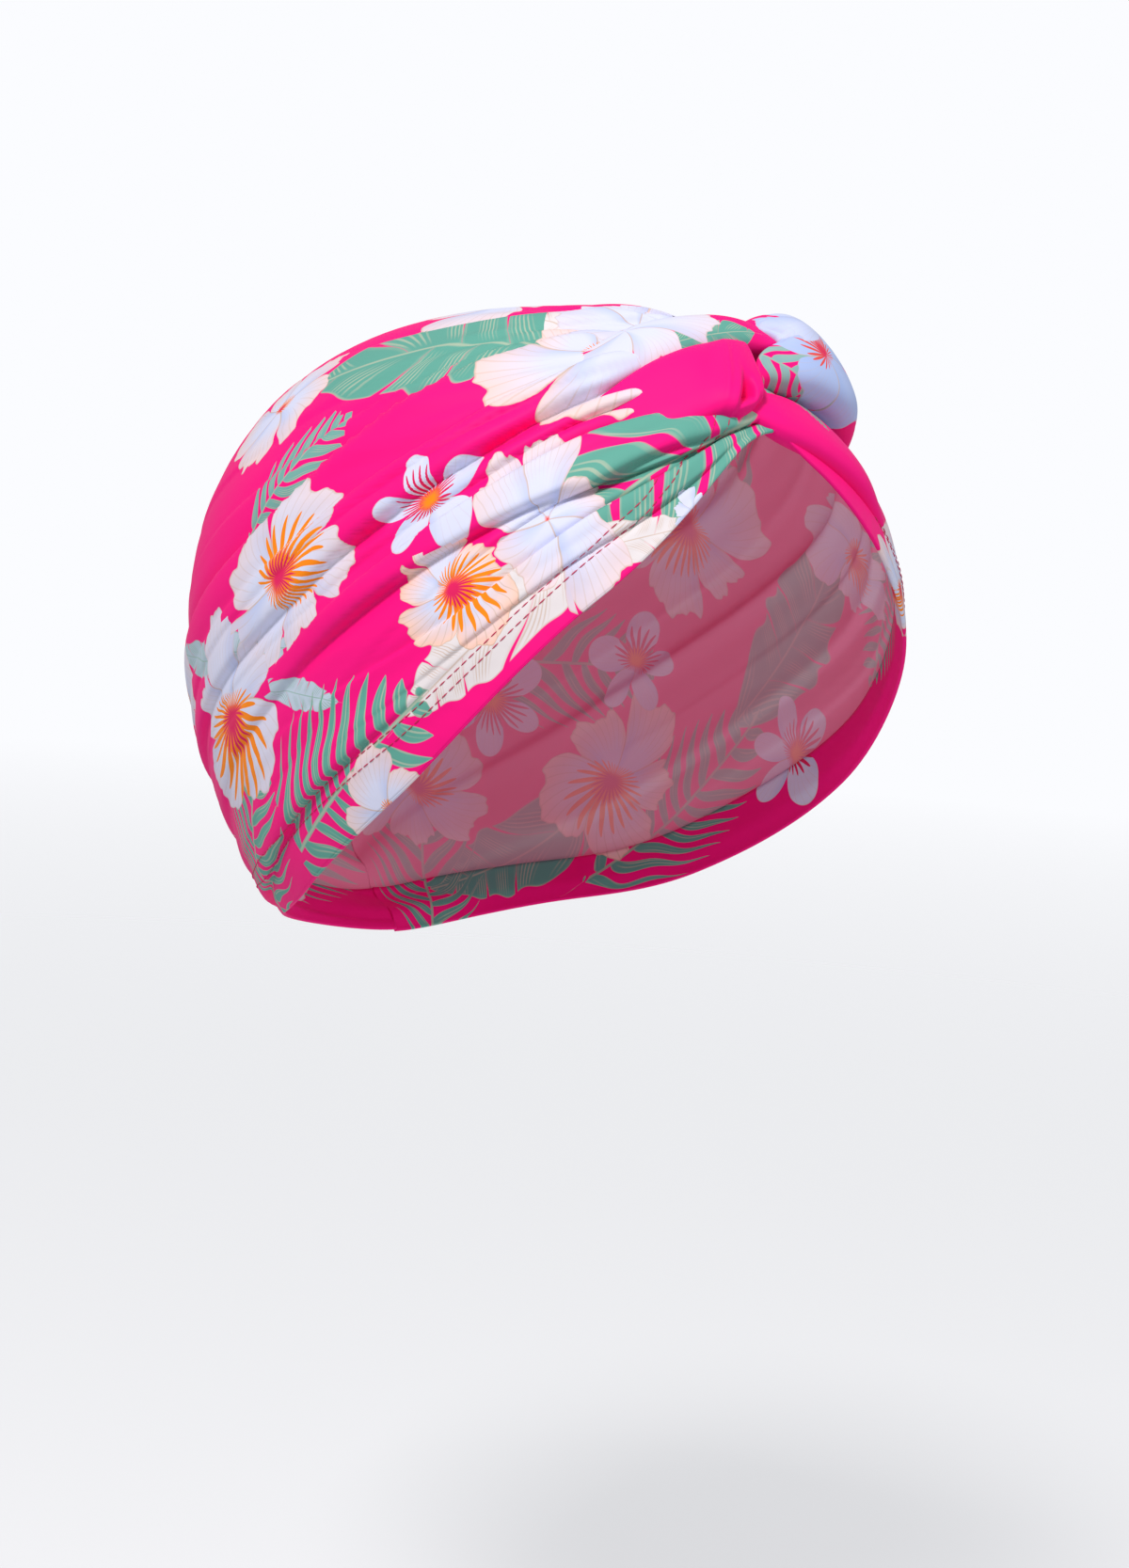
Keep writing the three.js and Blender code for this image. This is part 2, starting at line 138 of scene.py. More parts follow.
# %% [markdown]
# A place on a half of the cap is told by two numbers: along, from 0 at the back seam to 1 at the knot,
# and across, from 0 at the crown seam to 1 at the hem. The hem climbs from low at the back to high at
# the front, and the crown seam runs in the middle plane. Between the two, the direction from the
# form's middle turns evenly, so the grid is as smooth as the form itself.

# %% Places on the cap
HEM_ANGLES = [0, 30, 60, 95, 135, 180]
HEM_HEIGHTS = [0.655, 0.245, -0.309, -0.627, -0.77, -0.857]
SEAM_BACK_ANGLE = 188
SEAM_FRONT_ANGLE = 60


def hem_direction(along, side):
    """Unit direction of the hem: its height comes from the table, its distance from the form."""
    angle = np.pi * (1.0 - along)
    heights = [h * (FORM_TOP if h > 0 else FORM_BELOW) for h in HEM_HEIGHTS]
    z = through(np.radians(HEM_ANGLES), heights, angle)
    half = np.where(z > 0, FORM_TOP, FORM_BELOW)
    level = (1.0 - np.abs(z / half) ** SIDE_SQUARENESS) ** (1.0 / SIDE_SQUARENESS)
    x = side * np.sin(angle)
    y = -np.cos(angle)
    length = np.where(y < 0, FORM_FRONT, FORM_BACK)
    radius = level * plan_sum(x, y, length) ** (-1.0 / PLAN_SQUARENESS)
    return unit(np.stack([x * radius, y * radius, z], -1))


def seam_direction(along):
    """Unit direction of the crown seam: an angle in the middle plane that falls evenly."""
    angle = np.radians(SEAM_BACK_ANGLE + (SEAM_FRONT_ANGLE - SEAM_BACK_ANGLE) * along)
    return np.stack([np.zeros_like(angle), -np.cos(angle), np.sin(angle)], -1)


def spread(along, side):
    """Angle between the crown seam and the hem."""
    return np.arccos(np.clip((seam_direction(along) * hem_direction(along, side)).sum(-1), -1.0, 1.0))


def form_point(along, across, side):
    """Point of the form: both directions are blended along a great circle, then pushed out to it."""
    angle = spread(along, side)
    seam = seam_direction(along) * (np.sin((1.0 - across) * angle) / np.sin(angle))[..., None]
    hem = hem_direction(along, side) * (np.sin(across * angle) / np.sin(angle))[..., None]
    direction = unit(seam + hem)
    return direction * form_radius(direction)[..., None]


def cloth_length(along, side):
    """Length of cloth from the crown seam to the hem: angle times radius."""
    return spread(along, side) * form_radius(hem_direction(along, side))


def cap_point(along, across, side, height):
    """Point at a height above the form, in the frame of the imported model."""
    p = form_point(along, across, side)
    return p + form_normal(p) * np.asarray(height)[..., None] + FORM_MIDDLE

# %% [markdown]
# Where the cloth is drawn into the knot, it bridges off the form and lies in folds that fan out from
# there and fade over the sides. Simulation could find such folds, but not these folds, so each one is
# a row of a table: where it runs, how deep and how wide it is, and which side laps over it. Fine
# tension lines follow the same fan as waves that wander a little, and gathers ripple beside the back
# seam.

# %% Sizes of the cloth and its folds
CLOTH = 1.3
WALL_EASE = 0.4
WALL_FACE = 1.6
HEM_WIDTH = 15.0
HEM_ROOM = 1.3
LIFT_AT_CROWN = 9.0
LIFT_AT_HEM = 5.5
BRIDGE_FROM = 0.5
BRIDGE_LATER_AT_HEM = 0.3
BACK_FULLNESS = 3.6
FULLNESS_TO_ONE = 2.5
FOLD_DEPTH = 3.0
USUAL_WIDTH = 4.5
FOLD_CREST = 0.8
CREST_SHARE = 0.75
CREST_HELD_DOWN = 0.75
CREST_NEAR_HALF = 0.45
CREST_FAR_HALF = 1.5
VALLEY_SHARE = 0.85
VALLEY_OUTER_HALF = 0.9
VALLEY_INNER_HALF = 0.4
DEEPEST_DENT = 1.9
DENT_PER_LIFT = 0.5
FOLD_LEAN = 0.9
LEAN_AT = 0.6
LEAN_HALF = 0.5
TENSION_DEPTH = 0.36
WAVES = 9
FINE_WAVES = 17
FINE_SHARE = 0.8
GATHER_DEPTH = 1.2
GATHER_REACH = 16.0
GATHERS = 5
SEAM_DIP = 0.9
SEAM_DIP_REACH = 2.2
PINCH_AT_KNOT = 0.4
LEFT_EDGE_SAG = 4.0
EDGE_PRESSED = 0.55
EDGE_TAPER = 6.0
HEM_ROOM_FROM = 2.0
HEM_ROOM_FULL = 0.75

# %% Where each effect sets in
# A pair gives where an effect starts and how far on it is full. A negative length counts backwards.
FULLER_FROM = (0.0, 0.3)
FULLER_UNTIL = (0.85, -0.4)
HELD_DOWN_FROM = (0.82, 0.14)
DRAWN_FROM = (0.35, 0.6)
QUIET_FROM = (0.6, 0.2)
PINCHED_FROM = (0.95, 0.05)
LEANS_FROM = (0.0, 0.05)
LEANS_UNTIL = (1.0, -0.08)
SAGS_FROM = (0.72, 0.12)
SAGS_UNTIL = (1.0, -0.04)


def ramp(x, start, length):
    """Rises smoothly from 0 at start to 1 a length further on."""
    return smooth((x - start) / length)


# %% The table of folds
# A row gives the fold's place across at each station along, its depth there, its width and its lap.
STATIONS = [0.0, 0.55, 0.72, 0.86, 1.0]
RIGHT_FOLDS = [
    ([0.3, 0.24, 0.22, 0.14, 0.06], [0.0, 0.1, 0.5, 0.6, 0.5], 4.2, 1),
    ([0.56, 0.54, 0.37, 0.29, 0.26], [0.2, 0.7, 0.7, 0.5, 0.4], 4.5, 1),
    ([0.74, 0.68, 0.577, 0.48, 0.4], [0.1, 0.6, 1.0, 1.0, 0.6], 4.2, -1),
    ([0.87, 0.78, 0.711, 0.771, 0.91], [0.1, 0.4, 1.0, 1.2, 1.1], 3.6, -1),
    ([0.82, 0.74, 0.66, 0.655, 0.8], [0.0, 0.2, 0.9, 2.0, 2.2], 2.0, 1),
    ([0.86, 0.82, 0.82, 0.835, 0.94], [0.0, 0.1, 0.6, 1.9, 2.2], 1.8, 1),
    ([0.66, 0.6, 0.5, 0.41, 0.33], [0.0, 0.3, 0.5, 0.5, 0.3], 2.6, 1),
    ([0.42, 0.4, 0.3, 0.22, 0.16], [0.0, 0.2, 0.4, 0.4, 0.3], 2.6, -1),
    ([0.78, 0.71, 0.63, 0.57, 0.62], [0.0, 0.3, 0.7, 1.3, 1.3], 2.0, -1),
    ([0.9, 0.87, 0.76, 0.74, 0.87], [0.0, 0.2, 0.5, 1.9, 2.2], 1.7, -1),
    ([0.9, 0.9, 0.88, 0.9, 0.98], [0.0, 0.1, 0.5, 0.9, 0.6], 1.6, -1),
    ([0.72, 0.63, 0.535, 0.45, 0.37], [0.0, 0.4, 0.8, 0.7, 0.3], 1.8, -1),
    ([0.5, 0.47, 0.34, 0.26, 0.21], [0.0, 0.3, 0.7, 0.8, 0.5], 1.8, 1),
    ([0.99, 0.925, 0.9, 0.88, 0.86], [0.5, 0.9, 0.2, 0.0, 0.0], 2.6, -1),
]
LEFT_FOLDS = [
    ([0.3, 0.24, 0.2, 0.2, 0.24], [0.0, 0.1, 0.5, 0.7, 0.7], 4.2, 1),
    ([0.52, 0.48, 0.4, 0.38, 0.42], [0.2, 0.5, 0.8, 0.8, 0.6], 4.2, -1),
    ([0.7, 0.64, 0.6, 0.56, 0.55], [0.1, 0.6, 0.9, 0.8, 0.6], 4.2, -1),
    ([0.85, 0.8, 0.76, 0.72, 0.6], [0.1, 0.3, 0.5, 0.7, 0.6], 4.4, 1),
    ([0.62, 0.57, 0.5, 0.48, 0.52], [0.0, 0.2, 0.4, 0.2, 0.0], 2.4, 1),
    ([0.78, 0.73, 0.69, 0.68, 0.7], [0.0, 0.1, 0.4, 0.1, 0.0], 2.4, -1),
    ([0.9, 0.87, 0.86, 0.87, 0.9], [0.0, 0.1, 0.3, 0.1, 0.0], 2.4, 1),
    ([0.4, 0.36, 0.31, 0.3, 0.34], [0.0, 0.2, 0.4, 0.5, 0.4], 2.6, -1),
]
FOLDS = {RIGHT: RIGHT_FOLDS, LEFT: LEFT_FOLDS}


# %% Folds and fullness
def lift(along, across):
    """Height of the bridge to the knot, plus the slack at the upper back."""
    start = BRIDGE_FROM + BRIDGE_LATER_AT_HEM * across
    rise = np.clip((along - start) / (1.0 - start), 0.0, 1.0) ** 2
    bridge = (LIFT_AT_CROWN * (1.0 - across) + LIFT_AT_HEM * across) * rise
    weight = ramp(along, *FULLER_FROM) * ramp(along, *FULLER_UNTIL)
    slack = FULLNESS_TO_ONE * np.sin(np.pi * across) * (1.0 - across) ** 2
    return bridge + BACK_FULLNESS * weight * slack


def fold_terms(along, across, side):
    """For each fold: distance from its valley in half widths, depth in millimetres, and its lap."""
    length = cloth_length(along, side)
    for place, depth, width, lap in FOLDS[side]:
        distance = (across - through(STATIONS, place, along)) * length / width
        yield distance, FOLD_DEPTH * through(STATIONS, depth, along) * width / USUAL_WIDTH, lap


def relief(along, across, side):
    """Folds, each a valley with a ridge beside it, plus waves of tension and gathers at the back."""
    height = np.zeros(np.broadcast(along, across).shape)
    held_down = 1.0 - CREST_HELD_DOWN * ramp(along, *HELD_DOWN_FROM)
    for distance, depth, lap in fold_terms(along, across, side):
        s = distance * lap
        crest = swell((s - FOLD_CREST) / np.where(s < FOLD_CREST, CREST_NEAR_HALF, CREST_FAR_HALF))
        valley = swell(s / np.where(s < 0, VALLEY_OUTER_HALF, VALLEY_INNER_HALF))
        height = height + depth * (CREST_SHARE * held_down * crest - VALLEY_SHARE * valley)
    drawn = ramp(along, *DRAWN_FROM)
    bend = 2.3 * np.sin(2.1 * along + side) + 1.4 * np.sin(7.0 * across)
    tension = np.sin(2 * np.pi * WAVES * across + bend)
    tension = tension + FINE_SHARE * np.sin(2 * np.pi * FINE_WAVES * across - 2 * bend)
    tension = tension * (0.75 + 0.5 * np.sin(5.0 * across + 9.0 * along + side))
    quiet = 1.0 - ramp(across, *QUIET_FROM) * (side == LEFT)
    gathers = swell(along * FORM_BACK / GATHER_REACH) * (np.sin(2 * np.pi * GATHERS * across) - 0.5)
    dip = swell(across * cloth_length(along, side) / SEAM_DIP_REACH)
    pinched = 1.0 - PINCH_AT_KNOT * ramp(along, *PINCHED_FROM)
    ripples = TENSION_DEPTH * drawn * quiet * tension + GATHER_DEPTH * gathers
    return (height + ripples) * pinched - SEAM_DIP * dip


def turned_share(along, side):
    """The hem's width as a share of the cloth from the seam to the edge."""
    return HEM_WIDTH / cloth_length(along, side)


def thinning(along, across, side):
    """Share of the full thickness: the cloth is pressed thin towards its folded edge."""
    return 1.0 - EDGE_PRESSED * smooth(1.0 - (1.0 - across) * cloth_length(along, side) / EDGE_TAPER)


def face_height(along, across, side):
    """Height of the cloth's outer face above the form, with room under it for the turned-up hem."""
    turned = turned_share(along, side)
    room = HEM_ROOM * ramp(across, 1.0 - HEM_ROOM_FROM * turned, HEM_ROOM_FULL * turned)
    raised = lift(along, across)
    folds = np.maximum(relief(along, across, side), -DEEPEST_DENT - DENT_PER_LIFT * raised)
    return WALL_EASE + room + WALL_FACE + raised + folds


def worn_point(along, across, side, height, leaned=1.0):
    """Point of the worn cloth: ridges lean over their valleys by a share, and the left edge sags."""
    held = np.minimum(across, 1.0)
    lean = np.zeros(np.broadcast(along, across).shape)
    for distance, depth, lap in fold_terms(along, held, side):
        lean = lean - lap * FOLD_LEAN * depth * swell((distance * lap - LEAN_AT) / LEAN_HALF)
    free = ramp(held, *LEANS_FROM) * ramp(held, *LEANS_UNTIL)
    sag = LEFT_EDGE_SAG * (side == LEFT) * ramp(along, *SAGS_FROM)
    sag = sag * ramp(along, *SAGS_UNTIL) * held ** 2
    shifted = across + (leaned * lean * free + sag) / cloth_length(along, side)
    return cap_point(along, shifted, side, height)

# %% [markdown]
# Every piece of cloth here is a closed skin: a ring of points, the cloth's section, carried from one
# end to the other. A flat sheet with a Solidify modifier would do as well, but a closed ring also
# takes rounded edges and rolled lips. One function makes the mesh, so faces always point outwards.


# %% Making a mesh from carried rings
def carried_faces(rings, points):
    """Quads between neighbouring rings, and zipped ends whose quads join each point to its opposite."""
    ring = np.arange(rings)[:, None] * points
    place = np.arange(points)[None, :]
    following = (place + 1) % points
    near, far = ring[:-1], ring[1:]
    sides = np.stack([near + place, near + following, far + following, far + place], -1).reshape(-1, 4)
    j = np.arange(points // 2 - 1)
    cap = np.stack([j, points - 1 - j, points - 2 - j, j + 1], -1)
    last = (rings - 1) * points
    return np.concatenate([sides, cap, last + cap[:, ::-1]])


def volume_of(points, faces):
    """Sum of the signed tetrahedra from the origin to each face, over both halves of each quad."""
    a, b, c, d = (points[faces[:, k]] for k in range(4))
    return ((a * np.cross(b, c)).sum() + (a * np.cross(c, d)).sum()) / 6.0


def make_mesh(name, points, faces):
    """A smooth mesh piece in metres, on the frame's root, with its faces turned outwards."""
    if volume_of(points, faces) < 0:
        faces = faces[:, ::-1]
    mesh = bpy.data.meshes.new(name)
    mesh.vertices.add(len(points))
    mesh.vertices.foreach_set("co", (points * MM).astype(np.float32).ravel())
    mesh.loops.add(faces.size)
    mesh.loops.foreach_set("vertex_index", faces.astype(np.int32).ravel())
    mesh.polygons.add(len(faces))
    mesh.polygons.foreach_set("loop_start", np.arange(0, faces.size, 4, dtype=np.int32))
    mesh.polygons.foreach_set("use_smooth", np.ones(len(faces), dtype=bool))
    mesh.update(calc_edges=True)
    piece = bpy.data.objects.new(name, mesh)
    bpy.context.scene.collection.objects.link(piece)
    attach(piece, "root")
    print(f"{name}: {len(faces) * 2} triangles, {volume_of(points, faces) / 1000:.1f} cm3")
    return piece, faces

# %% [markdown]
# The print is a common tropical one: large white flowers with blushed edges and a fiery throat, small
# five-petalled ones, banana leaves and palm fronds on hot pink. An image could hold it, but drawn by
# formula it stays sharp at any size. Each flower or leaf is a row: where its middle lies on the half,
# where it points, and how far it reaches. Here each face of the cloth learns which flower and leaf it
# shows and where in that flower it lies, so that the shader only has to draw a single flower.

# %% Where the flowers and leaves lie
# A row gives along, across, turn in degrees, reach in millimetres, slimness and kind, and then two
# tones: a flower's blush and throat, or a leaf's shares of tan and white.
PLUMERIA, HIBISCUS = 0.0, 1.0
BANANA, PALM = 0.0, 1.0
RIGHT_FLOWERS = [
    (0.591, 0.625, 9, 29, 0.8, HIBISCUS, 0.4, 1.1),
    (0.700, 0.625, 18, 18, 0.85, PLUMERIA, 0.0, 1.0),
    (0.717, 0.779, 164, 18, 0.9, HIBISCUS, 1.0, 1.3),
    (0.515, 0.744, 20, 30, 0.8, HIBISCUS, 0.2, 1.4),
    (0.821, 0.400, -142, 32, 0.8, HIBISCUS, 0.7, 0.3),
    (0.560, 0.330, 66, 22, 0.8, HIBISCUS, 0.6, 0.4),
    (0.655, 1.010, 30, 17, 0.9, HIBISCUS, 0.6, 0.3),
    (0.400, 0.560, 125, 23, 0.8, HIBISCUS, 0.3, 0.8),
    (0.300, 0.300, 40, 26, 0.9, HIBISCUS, 0.6, 1.0),
    (0.250, 0.800, 100, 24, 0.8, HIBISCUS, 0.4, 1.0),
    (0.120, 0.500, 10, 20, 0.9, PLUMERIA, 0.0, 1.0),
    (0.680, 0.080, 80, 26, 0.8, HIBISCUS, 0.5, 0.9),
]
RIGHT_FLOWERS_OVER = [
    (0.783, 0.769, 76, 24, 0.75, HIBISCUS, 0.5, 0.1),
    (0.880, 0.230, -8, 26, 0.7, HIBISCUS, 0.15, 0.0),
    (0.440, 0.180, 75, 20, 0.9, PLUMERIA, 0.0, 1.0),
    (0.905, 1.020, 0, 6, 0.9, HIBISCUS, 0.0, 0.0),
]
RIGHT_LEAVES = [
    (0.690, 0.310, 172, 44, 1.0, BANANA, 0.0, 0.0),
    (0.890, 0.800, 178, 42, 0.9, 0.5, 0.0, 0.0),
    (0.560, 0.690, -24, 18, 0.9, BANANA, 0.0, 0.7),
    (0.590, 0.790, -30, 16, 0.9, BANANA, 0.0, 0.7),
    (0.490, 0.630, 150, 17, 0.9, BANANA, 0.0, 0.6),
    (0.600, 0.460, 30, 24, 0.7, 0.7, 0.0, 0.1),
    (0.330, 0.140, 150, 38, 1.0, BANANA, 0.0, 0.0),
    (0.330, 0.620, 200, 30, 1.0, BANANA, 0.0, 0.0),
    (0.100, 0.250, 20, 28, 1.0, BANANA, 0.0, 0.0),
    (0.755, 0.885, 184, 33, 0.7, BANANA, 1.0, 0.0),
    (0.800, 0.270, 170, 22, 0.8, BANANA, 1.0, 0.0),
]
RIGHT_FRONDS = [
    (0.610, 0.940, 10, 38, 1.1, PALM, 0.0, 0.0),
    (0.470, 0.880, 35, 30, 1.0, PALM, 0.0, 0.0),
    (0.850, 0.930, -25, 16, 0.8, BANANA, 1.0, 0.0),
    (0.160, 0.760, 150, 38, 1.0, PALM, 0.0, 0.0),
    (0.200, 0.240, 220, 38, 1.0, PALM, 0.0, 0.0),
]
LEFT_FLOWERS = [
    (0.560, 0.480, 200, 28, 1.0, HIBISCUS, 0.5, 1.0),
    (0.740, 0.420, 60, 18, 1.0, PLUMERIA, 0.0, 1.0),
    (0.842, 0.960, 20, 20, 1.0, HIBISCUS, 0.6, 0.6),
    (0.420, 0.780, 90, 25, 1.0, HIBISCUS, 0.8, 1.1),
    (0.660, 0.140, 10, 27, 1.0, HIBISCUS, 0.4, 0.5),
    (0.300, 0.300, 140, 26, 1.0, HIBISCUS, 0.4, 1.0),
    (0.180, 0.640, 70, 22, 1.0, HIBISCUS, 0.5, 0.9),
    (0.600, 0.900, 150, 19, 1.0, PLUMERIA, 0.0, 1.0),
    (0.700, 0.680, 120, 24, 0.8, HIBISCUS, 0.3, 0.9),
    (0.870, 0.300, 170, 27, 0.8, HIBISCUS, 0.4, 0.4),
]
LEFT_FLOWERS_OVER = [
    (0.450, 0.140, 75, 20, 1.0, PLUMERIA, 0.0, 1.0),
    (0.340, 0.560, 20, 19, 1.0, PLUMERIA, 0.0, 1.0),
    (0.480, 0.620, 200, 17, 1.0, PLUMERIA, 0.0, 1.0),
    (0.860, 0.560, 40, 20, 0.7, HIBISCUS, 0.8, 0.5),
]
LEFT_LEAVES = [
    (0.620, 0.720, 25, 36, 1.0, BANANA, 0.0, 0.0),
    (0.500, 0.280, 160, 36, 1.0, BANANA, 0.0, 0.0),
    (0.280, 0.860, 200, 32, 1.0, BANANA, 0.0, 0.0),
    (0.780, 0.300, 150, 36, 1.0, BANANA, 0.0, 0.0),
    (0.940, 0.700, 200, 14, 0.8, 0.5, 0.0, 0.0),
]
LEFT_FRONDS = [
    (0.480, 0.880, 20, 36, 1.0, PALM, 0.0, 0.0),
    (0.240, 0.440, 210, 38, 1.0, PALM, 0.0, 0.0),
    (0.420, 0.560, -30, 34, 1.0, PALM, 0.0, 0.0),
    (0.740, 0.820, 200, 26, 1.0, PALM, 0.0, 0.0),
    (0.630, 0.330, 70, 30, 1.0, PALM, 0.0, 0.0),
    (0.120, 0.820, 60, 30, 1.0, PALM, 0.0, 0.0),
]
LAYERS = ("leaves", "fronds", "flowers", "flowers_over")
PRINT = {
    RIGHT: dict(zip(LAYERS, (RIGHT_LEAVES, RIGHT_FRONDS, RIGHT_FLOWERS, RIGHT_FLOWERS_OVER))),
    LEFT: dict(zip(LAYERS, (LEFT_LEAVES, LEFT_FRONDS, LEFT_FLOWERS, LEFT_FLOWERS_OVER))),
}

# %% Laying the print on the cloth
OUT_OF_PRINT = 9.0
SPREAD_OF_REACH = 1.2
NEARBY = 0.01
FIRST_NUMBER = 0.4
NUMBER_STEP = 1.7
LEAST_DISTANCE = 1e-6


def place_motif(middle, out, ahead, reach, slim, kind, tones):
    """A flower or leaf: its middle, the flat ways ahead and beside, its sizes, kind and tones."""
    ahead = unit(ahead - out * (ahead @ out))
    axes = np.stack([ahead, np.cross(out, ahead)], -1)
    sizes = reach * np.array([1.0, slim])
    return {"middle": middle, "axes": axes, "sizes": sizes, "kind": kind, "tones": tones}


def motif_on_half(row, side):
    """A row of a half's table: its middle lies on the form, and its turn counts from the way along."""
    along, across = np.array(row[:2])
    turn, reach, slim, kind, *tones = row[2:]
    middle = form_point(along, across, side)
    out = form_normal(middle)
    step = form_point(along + NEARBY, across, side) - form_point(along - NEARBY, across, side)
    onward = unit(step - out * (step @ out))
    crownward = np.cross(out, onward) * -side
    ahead = onward * math.cos(math.radians(turn)) + crownward * math.sin(math.radians(turn))
    return place_motif(middle + FORM_MIDDLE, out, ahead, reach, slim, kind, tones)


def motif_places(points, motif):
    """Flat places that keep each point's distance from the middle, in units of the motif's reach."""
    away = points - motif["middle"]
    flat = away @ motif["axes"]
    stretch = np.linalg.norm(away, axis=-1) / np.maximum(np.linalg.norm(flat, axis=-1), LEAST_DISTANCE)
    return flat * stretch[..., None] / motif["sizes"]


def lay_print(piece, faces, ground, motifs):
    """Gives each face corner its place in the nearest flower and leaf of each layer, and their kinds."""
    corners = ground[faces]
    middles = corners.mean(axis=1)
    for layer in LAYERS:
        places = np.full((len(faces), 4, 3), OUT_OF_PRINT)
        tones = np.zeros((len(faces), 4, 3))
        nearest = np.full(len(faces), SPREAD_OF_REACH)
        for number, motif in enumerate(motifs.get(layer, [])):
            distance = np.linalg.norm(motif_places(middles, motif), axis=-1)
            chosen = distance < nearest
            nearest = np.where(chosen, distance, nearest)
            places[chosen, :, :2] = motif_places(corners[chosen], motif)
            places[chosen, :, 2] = motif["kind"]
            tones[chosen] = [*motif["tones"], NUMBER_STEP * number + FIRST_NUMBER]
        for suffix, values in (("place", places), ("tone", tones)):
            attribute = piece.data.attributes.new(f"{layer}_{suffix}", "FLOAT_VECTOR", "CORNER")
            attribute.data.foreach_set("vector", values.astype(np.float32).ravel())


def lay_cloth(piece, faces, cloth_places, reverse):
    """A map of cloth places in metres for the knit, and how far each point shows the cloth's back."""
    layer = piece.data.uv_layers.new(name="cloth")
    layer.data.foreach_set("uv", (cloth_places[faces] * MM).astype(np.float32).ravel())
    attribute = piece.data.attributes.new("reverse", "FLOAT", "POINT")
    attribute.data.foreach_set("value", np.asarray(reverse, np.float32))

# %% [markdown]
# The two halves come first. The section of a half goes from the crown seam over the outer face to the
# edge, and back up along the inner face. The columns lie closer together at the knot, where the folds
# are narrow. The print is laid on the plain form, so a fold bends it but doesn't smear it.

# %% The two halves
COLUMNS = 150
ROWS = 310
CLOSE_ENDS = 0.08
BACK_EDGE = 0.02
HALF_LENGTH = 260.0


def column_places():
    """Shares from 0 to 1 that lie closer together at both ends."""
    turn = CLOSE_ENDS + (1.0 - 2.0 * CLOSE_ENDS) * np.linspace(0, 1, COLUMNS)
    place = 0.5 - 0.5 * np.cos(np.pi * turn)
    return (place - place[0]) / (place[-1] - place[0])


def make_cloth(name, rings, along, across, side, reverse):
    """A piece of one half, kept off the middle plane, with its print and its map of cloth places."""
    rings[..., 0] = side * np.maximum(side * rings[..., 0], BACK_EDGE)
    piece, faces = make_mesh(name, rings.reshape(-1, 3), carried_faces(*across.shape))
    ground = form_point(along, across, side).reshape(-1, 3) + FORM_MIDDLE
    motifs = {layer: [motif_on_half(row, side) for row in rows] for layer, rows in PRINT[side].items()}
    lay_print(piece, faces, ground, motifs)
    cloth = np.stack([along * HALF_LENGTH, across * cloth_length(along, side)], -1)
    lay_cloth(piece, faces, cloth.reshape(-1, 2), reverse.ravel())
    return piece


def make_half(name, side):
    """The outer face from seam to edge, then the inner face from edge to seam, for every column."""
    along, across = np.meshgrid(column_places(), np.linspace(0, 1, ROWS), indexing="ij")
    face = face_height(along, across, side)
    under = face - CLOTH * thinning(along, across, side)
    outer = worn_point(along, across, side, face)
    inner = worn_point(along, across, side, under, leaned=0.0)
    rings = np.concatenate([outer, inner[:, ::-1]], axis=1)
    along, across = (np.concatenate([grid, grid[:, ::-1]], axis=1) for grid in (along, across))
    reverse = np.concatenate([np.zeros_like(face), np.ones_like(face)], axis=1)
    return make_cloth(name, rings, along, across, side, reverse)


right_half = make_half("right_half", RIGHT)
left_half = make_half("left_half", LEFT)

# %% [markdown]
# The hem is the same cloth turned up inside by 15 mm. Its section goes down the inner side, round the
# fold at the edge, and back up against the wall, ending in a raw edge. The fold bead at the bottom
# covers the wall's own edge, so from outside the hem reads as one rounded fold.

# %% The turned-up hems
HEM_GAP = 0.15
HEM_CLOTH = 0.9
HEM_ROWS = 14
FOLD_STEPS = 7


def make_hem(name, side):
    """Inner side, half circle round the edge, then the side against the wall, for every column."""
    along = column_places()[:, None]
    turned = turned_share(along, side)
    up = np.linspace(1, 0, HEM_ROWS)[None, :]
    edge_face = face_height(along, np.ones_like(along), side)
    bead = (CLOTH + HEM_GAP + HEM_CLOTH) / 2.0 * (1.0 - EDGE_PRESSED)
    angle = np.linspace(0, np.pi, FOLD_STEPS)[None, 1:-1]
    inside = 1.0 - turned * up
    thin = thinning(along, inside, side)
    under = face_height(along, inside, side) - (CLOTH + HEM_GAP) * thin
    round_across = 1.0 + bead * np.sin(angle) / cloth_length(along, side)
    round_height = edge_face - bead - bead * np.cos(angle)
    across = np.concatenate([inside, round_across, np.ones_like(along), inside[:, ::-1]], axis=1)
    height = np.concatenate([under - HEM_CLOTH * thin, round_height, edge_face, under[:, ::-1]], axis=1)
    along = np.broadcast_to(along, across.shape)
    rings = worn_point(along, across, side, height)
    return make_cloth(name, rings, along, across, side, np.zeros(across.shape))


right_turned_hem = make_hem("right_turned_hem", RIGHT)
left_turned_hem = make_hem("left_turned_hem", LEFT)

# %% [markdown]
# In the knot each half ends in two strands of bunched cloth: a lobe that folds over like a hood, and a
# thinner strand that dives through the other half's lobe. Each is an oval carried along a smooth line
# through a short table, in the knot's own axes: across to the left half, up towards the crown, and
# out from the form. Shares of the knot's width, height and depth keep the table readable.

